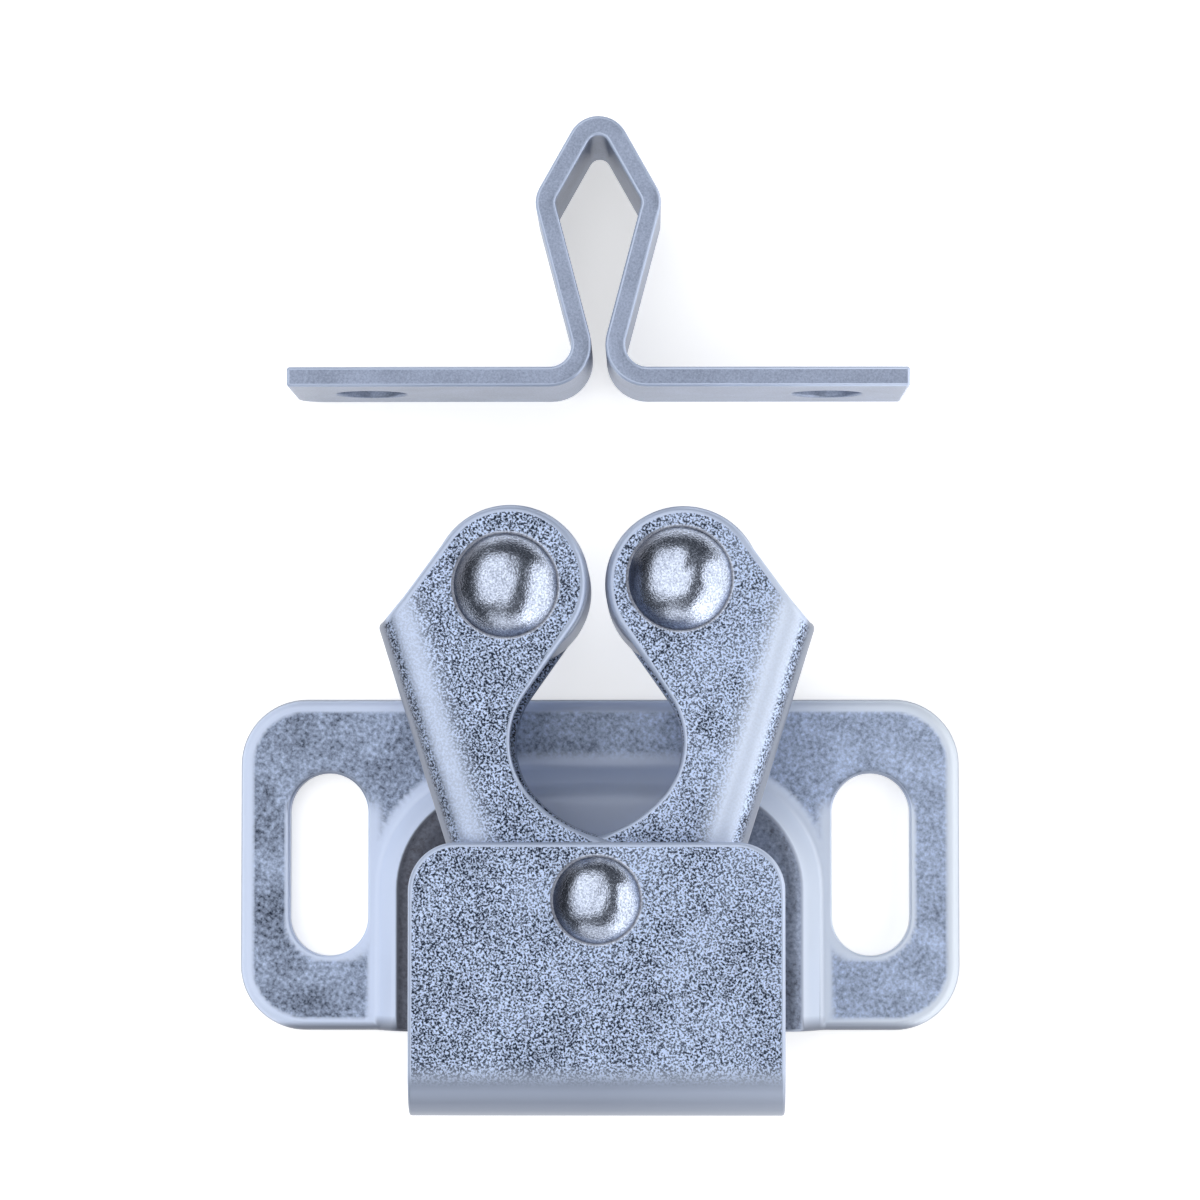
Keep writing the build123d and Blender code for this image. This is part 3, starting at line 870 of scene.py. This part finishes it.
    def plate(self, bm, plan):
        """Marks at each vertex how the plating came out there, and where highlight and shade are painted on.
        """
        s = plan.s
        smooth_and_sheen, cloudy, painted_highlight, painted_shade = (bm.verts.layers.float.new(name) for name in
                                             ("smooth_and_sheen", "cloudy", "painted_highlight", "painted_shade"))
        for vert in bm.verts:
            place = vert.co
            on_flap = place.z > plan.back - 0.1
            in_pocket = fade(abs(place.x), *plan.pocket_ends)
            vert[smooth_and_sheen] = plan.smoothness(place)
            vert[cloudy] = 0.0 if on_flap else 1.0
            # the fold and the flap: painted shade, greyer toward the fold's lowest line
            if place.y < plan.turn_y or on_flap:
                vert[painted_shade] = (0.35 * fade(place.y - plan.turn_y, -0.8, 0.4) +
                              0.2 * fade(place.y - s.fold_bottom, 0.4, 1.3))
            # the ears and the sloped wall: painted highlight where they are smooth, but for the rims, and
            # painted shade along the lower rim, the outline and the slots' upper ends
            elif place.z < plan.front - (0.08 if in_pocket > 0.5 else 0.25):
                lower_rim = fade(place.y - plan.low, 0.1, 0.45)
                outline_shade = fade(plan.ear_depth(place), 0.0, 0.08)
                slot_top = fade(-plan.slot_depth(place), 0.05, 0.35) * (1 - fade(place.y, 2.6, 3.6))
                vert[painted_highlight] = vert[smooth_and_sheen] * (1 - lower_rim) * (1 - outline_shade)
                vert[painted_shade] = max(0.75 * lower_rim, 0.6 * outline_shade, 0.45 * slot_top)
            # the raised middle: painted highlight in the pocket, painted shade beside it, darker on the left
            else:
                side_shade = 0.85 if place.x < 0 else 0.5
                vert[painted_highlight] = 0.9 * in_pocket
                vert[painted_shade] = side_shade * (1 - in_pocket)


class JawPlan:
    """The right jaw's plan, and the way from the plan to the flat blank that it is folded from."""

    def __init__(self, s):
        self.s = s
        # up the leaning web, and across the plates from it
        self.up = Vector((sin(s.lean), cos(s.lean)))
        self.into = Vector((-cos(s.lean), sin(s.lean)))
        self.corner = Vector((s.corner_x, s.corner_y))
        self.outer_r = s.bend_r + s.sheet
        self.mid_r = s.bend_r + s.sheet / 2
        self.web_half = s.depth / 2 - self.outer_r

    def point(self, down, across):
        """The place so far down the web from its top corner and so far across the plate."""
        return self.corner - self.up * down + self.into * across

    def along(self, across):
        """How far from the web's middle a place of the plan lies on the blank."""
        if across >= self.outer_r:
            return self.web_half + self.mid_r * pi / 2 + across - self.outer_r
        return self.web_half + self.mid_r * acos(min(1, (self.outer_r - across) / self.mid_r))

    def blank(self, point):
        """The blank's place for a point of a plate."""
        offset = Vector(point) - self.corner
        return Vector((self.along(offset.dot(self.into)), -offset.dot(self.up)))

    def outline(self, bm):
        """Draws one half of the blank: from the middle of the web's top round the plate to its foot."""
        s = self.s
        head, pocket = Vector((s.head_x, s.head_y)), Vector((s.pocket_x, s.pocket_y))
        # the top edge starts at the web's corner and touches the head's circle at the shoulder
        step = self.point(0, s.corner_step)
        to_head = head - step
        shoulder_angle = atan2(to_head.y, to_head.x) - asin(s.head_r / to_head.length)
        reach = sqrt(to_head.length_squared - s.head_r ** 2)
        shoulder = step + Vector((cos(shoulder_angle), sin(shoulder_angle))) * reach
        # the throat is the line that touches the head's circle and, on its other side, the pocket's
        across = pocket - head
        throat = atan2(across.y, across.x) + asin((s.head_r + s.pocket_r) / across.length)
        normal = Vector((-sin(throat), cos(throat)))
        throat_top, throat_end = head - normal * s.head_r, pocket + normal * s.pocket_r
        start = atan2(shoulder.y - head.y, shoulder.x - head.x)
        stop = atan2(throat_top.y - head.y, throat_top.x - head.x)

        # the heel ends just clear of the other jaw's web, whose bend bites a little into the room
        vee = Vector((0, s.vee_y))
        bite = s.bend_r - sqrt(s.bend_r ** 2 - (s.bend_r - s.plate_gap) ** 2)
        clear = self.point(0, s.sheet + bite + s.heel_gap)
        other = Vector((-clear.x, clear.y))
        down = Vector((self.up.x, -self.up.y))
        way = Vector((-cos(s.heel_slope), -sin(s.heel_slope)))
        gap = other - vee
        heel = vee + way * ((gap.x * down.y - gap.y * down.x) / (way.x * down.y - way.y * down.x))
        heel_end = heel + down * s.heel_length

        # in plan the top edge is straight, so on the blank it curves as far as the bend goes
        pen = Pen(bm, (0, 0))
        pen.line((self.along(s.corner_step), 0))
        slope = self.blank(shoulder).y / ((shoulder - self.corner).dot(self.into) - s.corner_step)
        bend_steps = 10
        for k in range(1, bend_steps + 1):
            across_k = s.corner_step + (self.outer_r - s.corner_step) * k / bend_steps
            pen.line((self.along(across_k), slope * (across_k - s.corner_step)))
        pen.line(self.blank(shoulder))
        pen.arc(self.blank(head), (stop - start) % (2 * pi))
        pen.line(self.blank(throat_end))
        pen.arc(self.blank(pocket), -(atan2(normal.y, normal.x) + s.pocket_turn))
        tangent = Vector((-sin(s.pocket_turn), -cos(s.pocket_turn)))
        leaving = Vector((tangent.dot(self.into), -tangent.dot(self.up)))
        pen.arc_to(self.blank(vee), leaving)
        pen.through([(*self.blank(heel), s.tail_r), (*self.blank(heel_end), s.tail_r),
                     (*self.blank(self.point(s.web, s.tail_width)), s.tail_r), (0, s.web, 0)])

    def section(self):
        """The channel's section along the middle of the sheet, as (across, height)."""
        low, high = self.s.sheet / 2, self.s.depth - self.s.sheet / 2
        reach = 30.0
        return Fold([(reach, high), (low, high), (low, low), (reach, low)], (self.mid_r, self.mid_r))

    def share_of(self, edge):
        """The punch left the outer edges round, the pocket's less so and the inner ones sharp."""
        s = self.s
        middle = middle_of(edge)
        if middle.z < 0:
            return 0.2
        from_pocket = Vector((abs(middle.x), middle.y)) - self.blank((s.pocket_x, s.pocket_y))
        return 0.55 if from_pocket.length < s.pocket_r + 0.3 else 1.0

    def across(self, place):
        """How far a place of the folded jaw lies from the web's outer face, across the plates."""
        return (place.xy - self.corner).dot(self.into)

    def past_web(self, place):
        """How far a place of the folded jaw lies beyond the flat of the web, toward the nearer plate."""
        return abs(place.z - self.s.depth / 2) - self.web_half

    def smoothness(self, place):
        """How far the plating is stretched smooth at a place, with painted sheen laid on the same places:
        beside and on the bends, but for a rough line along them."""
        across, past_web = self.across(place), self.past_web(place)
        on_front = 0.75
        if across > self.outer_r:
            return on_front * fade(across - self.outer_r, -0.2, 0.8)
        # the angle round the bend: 0 at the plate, a right angle at the web
        lean = atan2(self.outer_r - across, max(past_web, 0.0))
        return max(on_front * fade(lean, radians(30), radians(38)),
                   fade(-lean, radians(-58), radians(-50)) * fade(-past_web, 0.0, 0.5))


class CATCH_OT_jaws(bpy.types.Operator):
    """Stamps the jaw's blank, rolls its edges, folds it to a channel, and makes both jaws of it"""
    bl_idname = "catch.jaws"
    bl_label = "Jaws"

    def execute(self, context):
        s = sizes("catch_jaws")
        plan = JawPlan(s)
        bm = bmesh.new()
        plan.outline(bm)
        mirror_about_middle(bm)
        slab(bm, s.sheet)
        bm = rounded_rims(bm, s.edge, plan.share_of)
        grid_flats(bm, 0.5)
        self.fold_blank(bm, plan)
        bm = self.pierce(bm, s, sizes("catch_rivets"))
        bm = self.press_seat(bm, plan)
        painted_highlight = self.plate(bm, plan)
        # the left jaw is the same stamping turned round; the right one gets three times the painted highlight
        # on its bends
        other = bm.copy()
        for vert in bm.verts:
            vert[painted_highlight] *= 3
        placed(bm, (0, 0, s.back))
        bmesh.ops.scale(other, vec=(-1, 1, -1), verts=other.verts[:])
        placed(other, (0, 0, s.depth + s.back + s.pitch))
        material = finish_for("jaw")
        finish_piece("right_jaw_stamping", bm, material, "right_arm", ["right_jaw"])
        finish_piece("left_jaw_stamping", other, material, "left_arm", ["left_jaw"])
        return {"FINISHED"}

    def fold_blank(self, bm, plan):
        """Folds the flat blank to a channel, standing where the plan has it."""
        fold = plan.section()
        bend_steps = 12
        bmesh.ops.translate(bm, vec=(fold.total / 2, 0, 0), verts=bm.verts[:])
        score_bends(bm, fold, bend_steps)
        for vert in bm.verts:
            across, height = fold.at(vert.co.x, -vert.co.z)
            place = plan.point(vert.co.y, across)
            vert.co = (place.x, place.y, height)
        bmesh.ops.recalc_face_normals(bm, faces=bm.faces[:])

    def pierce(self, bm, s, r):
        """Pierces both plates for the pivot rivet, on which the jaw turns, and for its head rivet."""
        pivot_play = 0.05
        bm = cut(bm, placed(hole_cutter(r.pivot_shank_r + pivot_play, 0, -1, s.depth + 1), (0, s.pivot_y, 0)))
        return cut(bm, placed(hole_cutter(r.head_shank_r, 0, -1, s.depth + 1), (s.head_x, s.head_y, 0)))

    def press_seat(self, bm, plan):
        """Presses the spring's seat out of the web: a boss on its inside and a hollow on its outside."""
        s = plan.s
        over, seat_edge = 0.4, 0.2
        seat_y = sizes("catch_spring").centre_y
        centre = plan.point((s.corner_y - seat_y) / cos(s.lean), 0)
        turn = Vector((0, 0, 1)).rotation_difference(Vector((plan.into.x, plan.into.y, 0))).to_matrix()
        for low, operation in ((s.sheet, "UNION"), (0, "DIFFERENCE")):
            tool = bmesh.new()
            pen = Pen(tool, (0, low + s.seat_height))
            pen.through([(s.seat_r, low + s.seat_height, seat_edge), (s.seat_r, low - over, 0),
                         (0, low - over, 0)])
            turned(tool)
            bmesh.ops.rotate(tool, cent=(0, 0, 0), matrix=turn, verts=tool.verts[:])
            placed(tool, (centre.x, centre.y, s.depth / 2 + s.pitch / 2))
            bm = cut(bm, tool, operation)
        return bm

    def plate(self, bm, plan):
        """Marks at each vertex how the plating came out there and where highlight and shade are painted on,
        and returns the painted highlight layer.
        """
        smooth_and_sheen, painted_highlight, painted_shade = (bm.verts.layers.float.new(name) for name in
                                     ("smooth_and_sheen", "painted_highlight", "painted_shade"))
        for vert in bm.verts:
            across, past_web = plan.across(vert.co), plan.past_web(vert.co)
            vert[smooth_and_sheen] = plan.smoothness(vert.co)
            # painted shade on the bend next to the web, and painted highlight where the bend meets the plate
            vert[painted_shade] = 0.6 * fade(across, 0.3, 0.55) * fade(-past_web, 0.0, 0.5)
            vert[painted_highlight] = 0.25 * fade(across - plan.outer_r, -0.2, 0.8) * fade(-across, -1.0, -0.6)
        return painted_highlight


def rivet(shank_r, run, dome_r, dome_height, tail_r, tail_height, dent, off, seed):
    """A rivet whose shank runs up from Z = 0, with a struck dome on top and a formed tail below."""
    # the struck sheet lies round each dome as a flat ring, with a groove between the two
    ring, ring_rise = 0.12, 0.03
    groove, groove_floor = 0.04, 0.01
    # the dome is cut in by this much at its foot, and its wall stands up this high before it curves
    undercut, wall = 0.02, 0.08
    # how far the domes sink into the shank, inside its surface, and the shank into the domes
    sink, inside_shank, overlap = 0.1, 0.3, 0.2

    def cap(radius, height):
        ball = (radius ** 2 + height ** 2) / (2 * height)
        shape = bmesh.new()
        pen = Pen(shape, (0, -sink))
        for corner in ((shank_r - inside_shank, -sink), (shank_r - inside_shank, 0), (radius + ring, 0),
                       (radius + ring, ring_rise), (radius + groove, ring_rise),
                       (radius + groove, groove_floor), (radius - undercut, groove_floor), (radius, wall)):
            pen.line(corner)
        pen.arc_to((0, height), Vector((height - ball, radius)).normalized())
        return turned(shape)

    shank = bmesh.new()
    pen = Pen(shank, (0, -overlap))
    for corner in ((shank_r, -overlap), (shank_r, run + overlap), (0, run + overlap)):
        pen.line(corner)
    turned(shank)
    front = cap(dome_r, dome_height)
    # the hammer's marks: broad ones and half as deep ones a third as wide, fading out at the rim
    for vert in front.verts:
        if vert.co.z > wall + 0.01:
            inside = min(1.0, (dome_r - vert.co.xy.length) / 0.4)
            mark = noise.noise(Vector((vert.co.x * 0.9 + seed, vert.co.y * 0.9, seed))) * 2.2
            mark += noise.noise(Vector((vert.co.x * 2.6, vert.co.y * 2.6 + seed, seed)))
            vert.co.z += dent * mark * inside
    placed(front, (*off, run))
    back = cap(tail_r, tail_height)
    bmesh.ops.rotate(back, cent=(0, 0, 0), matrix=Matrix.Rotation(pi, 3, "X"), verts=back.verts[:])
    whole = cut(cut(shank, front, "UNION"), back, "UNION")
    # painted shade in the groove round the dome and down the dome's left side
    painted_shade = whole.verts.layers.float.new("painted_shade")
    for vert in whole.verts:
        reach = vert.co.xy - Vector(off)
        if run - 0.01 < vert.co.z < run + 0.09 and reach.length < dome_r + 0.06:
            vert[painted_shade] = 0.7
        elif vert.co.z > run:
            vert[painted_shade] = 0.8 * fade((reach.x - 0.3 * reach.y) / dome_r, -0.9, -0.45)
    return whole


class CATCH_OT_rivets(bpy.types.Operator):
    """Turns and strikes the pivot rivet and the two head rivets"""
    bl_idname = "catch.rivets"
    bl_label = "Rivets"

    def execute(self, context):
        r, j, b = sizes("catch_rivets"), sizes("catch_jaws"), sizes("catch_bracket")
        material = finish_for("rivet")
        head = (r.head_shank_r, j.depth, r.head_dome_r, r.head_dome_height, r.head_tail_r, r.head_tail_height,
                r.dent)
        for name, x, back, body, lift, seed in (
                ("left", -j.head_x, j.back + j.pitch, "left_arm", r.left_lift, 3.1),
                ("right", j.head_x, j.back, "right_arm", r.right_lift, 8.4)):
            bm = placed(rivet(*head, (r.head_drift, lift), seed), (x, j.head_y, back))
            finish_piece(f"{name}_struck_rivet", bm, material, body, [f"{name}_head_rivet"])
        bm = rivet(r.pivot_shank_r, b.flap_front - b.rise, r.pivot_dome_r, r.pivot_dome_height,
                   r.pivot_tail_r, r.pivot_tail_height, r.dent, (0, 0), 5.7)
        placed(bm, (0, j.pivot_y, b.rise))
        finish_piece("pivot_struck_rivet", bm, material, "base", ["pivot_rivet"])
        return {"FINISHED"}


class CATCH_OT_rollers(bpy.types.Operator):
    """Turns the two rollers with rounded rims and a bore"""
    bl_idname = "catch.rollers"
    bl_label = "Rollers"

    def execute(self, context):
        r, j = sizes("catch_rivets"), sizes("catch_jaws")
        run = j.depth - 2 * j.sheet - 2 * r.roller_end_play
        for name, x, back in (("left", -j.head_x, j.back + j.pitch), ("right", j.head_x, j.back)):
            bm = bmesh.new()
            pen = Pen(bm, (r.roller_bore_r, run / 2))
            pen.through([(r.roller_bore_r, 0, 0.12), (r.roller_r, 0, r.roller_edge),
                         (r.roller_r, run, r.roller_edge), (r.roller_bore_r, run, 0.12),
                         (r.roller_bore_r, run / 2, 0)])
            turned(bm)
            placed(bm, (x, j.head_y, back + j.sheet + r.roller_end_play))
            finish_piece(f"{name}_turned_roller", bm, finish_for("roller"), f"{name}_wheel",
                         [f"{name}_roller"])
        return {"FINISHED"}


class CATCH_OT_spring(bpy.types.Operator):
    """Winds the closing spring in two halves that meet in the middle, each bowed to stand square on its own
    jaw's web
    """
    bl_idname = "catch.spring"
    bl_label = "Closing spring"

    def execute(self, context):
        s, j = sizes("catch_spring"), sizes("catch_jaws")
        plan = JawPlan(j)
        face = plan.point((j.corner_y - s.centre_y) / cos(j.lean), j.sheet + s.gap + s.wire_r)
        bow_r = face.x / sin(j.lean)
        centre_y = face.y - bow_r * cos(j.lean)
        middle_z = j.back + (j.depth + j.pitch) / 2
        wire_sides, steps_per_turn = 14, 28
        bm = bmesh.new()
        bmesh.ops.create_circle(bm, cap_ends=False, radius=s.wire_r, segments=wire_sides)
        bmesh.ops.translate(bm, vec=(s.coil_r, 0, 0), verts=bm.verts[:])
        bmesh.ops.rotate(bm, cent=(0, 0, 0), matrix=Matrix.Rotation(radians(90), 3, "X"), verts=bm.verts[:])
        pitch = bow_r * j.lean / s.half_turns
        steps = steps_per_turn * s.half_turns
        bmesh.ops.spin(bm, geom=bm.verts[:] + bm.edges[:], cent=(0, 0, 0), axis=(0, 0, 1),
                       dvec=(0, 0, pitch * s.half_turns / steps), angle=2 * pi * s.half_turns, steps=steps,
                       use_merge=False, use_duplicate=False)
        bmesh.ops.holes_fill(bm, edges=bm.edges[:], sides=wire_sides)
        bmesh.ops.recalc_face_normals(bm, faces=bm.faces[:])
        # the straight coil is bowed, so that its ends stand square on the leaning webs
        for vert in bm.verts:
            bow = vert.co.z / bow_r
            reach = bow_r + vert.co.x
            vert.co = (reach * sin(bow), centre_y + reach * cos(bow), middle_z + vert.co.y)
        other = bm.copy()
        bmesh.ops.scale(other, vec=(-1, 1, -1), verts=other.verts[:])
        placed(other, (0, 0, 2 * middle_z))
        material = finish_for("wire")
        for name, half in (("right", bm), ("left", other)):
            piece = finish_piece(f"spring_{name}_half", half, material, "base",
                                 ["closing_spring"])
            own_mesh(piece)
        return {"FINISHED"}


class CATCH_OT_strike(bpy.types.Operator):
    """Cuts the strike's strip, rolls its edges, folds the spear-shaped loop and punches the holes"""
    bl_idname = "catch.strike"
    bl_label = "Strike"

    def execute(self, context):
        s = sizes("catch_strike")
        half, sheet = s.span / 2, s.sheet
        face = [(-half, sheet), (-s.foot, sheet), (-s.waist, s.waist_y), (0, s.nose_y),
                (s.waist, s.waist_y), (s.foot, sheet), (half, sheet)]
        points = [Vector(p) for p in face]
        # from the face's line to the sheet's middle line, by the mitre at each corner
        runs = [(b - a).normalized() for a, b in zip(points, points[1:])]
        middle = [points[0] - left_of(runs[0]) * sheet / 2]
        for before, after, point in zip(runs, runs[1:], points[1:-1]):
            mitre = (left_of(before) + left_of(after)) / (1 + before.dot(after))
            middle.append(point - mitre * sheet / 2)
        middle.append(points[-1] - left_of(runs[-1]) * sheet / 2)
        radii = [r + sheet / 2 for r in (s.foot_r, s.waist_r, s.nose_r, s.waist_r, s.foot_r)]
        fold = Fold(middle, radii)

        bm = bmesh.new()
        pen = Pen(bm, (fold.total / 2, 0))
        pen.through([(fold.total, 0, 0), (fold.total, s.width, 0), (0, s.width, 0), (0, 0, s.corner_r),
                     (fold.total / 2, 0, 0)])
        bmesh.ops.remove_doubles(bm, verts=bm.verts[:], dist=TOUCH)
        slab(bm, sheet)
        bm = rounded_rims(bm, s.edge, lambda edge: 1.0, segments=4)
        score_bends(bm, fold, 14)
        for vert in bm.verts:
            across, high = fold.at(vert.co.x, vert.co.z)
            vert.co = (across, s.back_y + high, vert.co.y)
        bmesh.ops.recalc_face_normals(bm, faces=bm.faces[:])
        for x in (-s.hole_spacing / 2, s.hole_spacing / 2):
            tool = hole_cutter(s.hole_r, s.edge, 0, sheet)
            bmesh.ops.rotate(tool, cent=(0, 0, 0), matrix=Matrix.Rotation(-pi / 2, 3, "X"),
                             verts=tool.verts[:])
            bm = cut(bm, placed(tool, (x, s.back_y, s.width / 2)))
        finish_piece("folded_strike", bm, finish_for("strike"), "base", ["strike"])
        return {"FINISHED"}


class CATCH_OT_stage(bpy.types.Operator):
    """Sets the plain pale floor, the soft studio lights and the camera"""
    bl_idname = "catch.stage"
    bl_label = "Stage"

    def execute(self, context):
        scene = context.scene
        c = sizes("catch_colours")
        bm = bmesh.new()
        half_floor = 3.0
        bmesh.ops.create_grid(bm, x_segments=1, y_segments=1, size=half_floor)
        mesh = bpy.data.meshes.new("floor")
        bm.to_mesh(mesh)
        bm.free()
        floor = bpy.data.objects.new("floor", mesh)
        scene.collection.objects.link(floor)
        # painted board; seen by the camera and mirrored in the metal it is lifted to clean white, and it
        # keeps its shadows
        material, tree, shader = blank_material("painted board")
        shader.inputs["Roughness"].default_value = 0.8
        shader.inputs["Specular IOR Level"].default_value = 0.2
        paths = add_node(tree, "ShaderNodeLightPath")
        seen = add_node(tree, "ShaderNodeMath", [(0, paths, "Is Camera Ray"), (1, paths, "Is Glossy Ray")],
                        operation="MAXIMUM")
        paint = add_node(tree, "ShaderNodeMix", [(0, seen, 0)],
                         [(6, (*c.floor_shade, 1)), (7, (*c.floor, 1))], data_type="RGBA")
        tree.links.new(paint.outputs[2], shader.inputs["Base Color"])
        shader.inputs["Emission Color"].default_value = (1, 1, 1, 1)
        lift = add_node(tree, "ShaderNodeMath", [(0, seen, 0)], [(1, 0.55)], operation="MULTIPLY")
        tree.links.new(lift.outputs[0], shader.inputs["Emission Strength"])
        mesh.materials.append(material)

        world = bpy.data.worlds.new("studio")
        world.use_nodes = True
        background = world.node_tree.nodes["Background"]
        background.inputs["Color"].default_value = (*c.surround, 1)
        background.inputs["Strength"].default_value = 0.11
        scene.world = world

        # the left fill only lightens; it isn't mirrored, so that the domes keep their dark left side
        for name, place, size, power, mirrored in (
                ("overhead softbox", (-0.15, 0.10, 0.41), (0.52, 0.76), 1.65, True),
                ("right softbox", (0.42, -0.10, 0.20), (0.42, 0.96), 2.1, True),
                ("low card", (0.06, -0.40, 0.15), (0.60, 0.28), 0.5, True),
                ("left fill", (-0.42, 0.0, 0.16), (0.3, 0.3), 0.65, False)):
            data = bpy.data.lights.new(name, "AREA")
            data.shape = "RECTANGLE"
            data.size, data.size_y = size
            data.energy = power
            lamp = bpy.data.objects.new(name, data)
            lamp.location = place
            lamp.visible_glossy = mirrored
            lamp.rotation_euler = (-asin(place[1] / Vector(place).length), atan2(place[0], place[2]), 0)
            scene.collection.objects.link(lamp)

        # as the photograph's camera: 200 mm in front of the mounting face and looking slightly up
        data = bpy.data.cameras.new("camera")
        data.sensor_width = 36.0
        data.lens = 129.2
        data.clip_start = 0.01
        camera = bpy.data.objects.new("camera", data)
        camera.location = (0.0021, 0.00252, 0.2)
        aim = Vector((0, 0.01227, 0)) - camera.location
        camera.rotation_euler = (asin(aim.y / aim.length), atan2(aim.x, aim.z) + pi, 0)
        scene.collection.objects.link(camera)
        scene.camera = camera
        scene.view_settings.view_transform = "Standard"
        return {"FINISHED"}


class CATCH_PT_panel(bpy.types.Panel):
    """Lists the pieces of the catch and their sizes"""
    bl_idname = "CATCH_PT_panel"
    bl_label = "Roller Catch"
    bl_space_type = "VIEW_3D"
    bl_region_type = "UI"
    bl_category = "Roller Catch"

    def draw(self, context):
        layout = self.layout
        for operator in OPERATORS:
            layout.operator(operator.bl_idname)
        for key, _ in GROUPS:
            group = getattr(context.scene, key)
            box = layout.box()
            for prop in group.__annotations__:
                box.prop(group, prop)


GROUPS = (
    ("catch_bracket", BracketSizes),
    ("catch_jaws", JawSizes),
    ("catch_rivets", RivetSizes),
    ("catch_spring", SpringSizes),
    ("catch_strike", StrikeSizes),
    ("catch_colours", ZincColours),
)
OPERATORS = (CATCH_OT_bracket, CATCH_OT_jaws, CATCH_OT_rivets, CATCH_OT_rollers, CATCH_OT_spring,
             CATCH_OT_strike, CATCH_OT_stage)


def register():
    for _, group in GROUPS:
        bpy.utils.register_class(group)
    for item in (*OPERATORS, CATCH_PT_panel):
        bpy.utils.register_class(item)
    for key, group in GROUPS:
        setattr(bpy.types.Scene, key, PointerProperty(type=group))


def unregister():
    for key, _ in GROUPS:
        delattr(bpy.types.Scene, key)
    for item in reversed((*[group for _, group in GROUPS], *OPERATORS, CATCH_PT_panel)):
        bpy.utils.unregister_class(item)


def main():
    """Builds every piece in order."""
    register()
    bpy.ops.catch.bracket()
    bpy.ops.catch.jaws()
    bpy.ops.catch.rivets()
    bpy.ops.catch.rollers()
    bpy.ops.catch.spring()
    bpy.ops.catch.strike()
    bpy.ops.catch.stage()


if __name__ == "__main__":
    main()
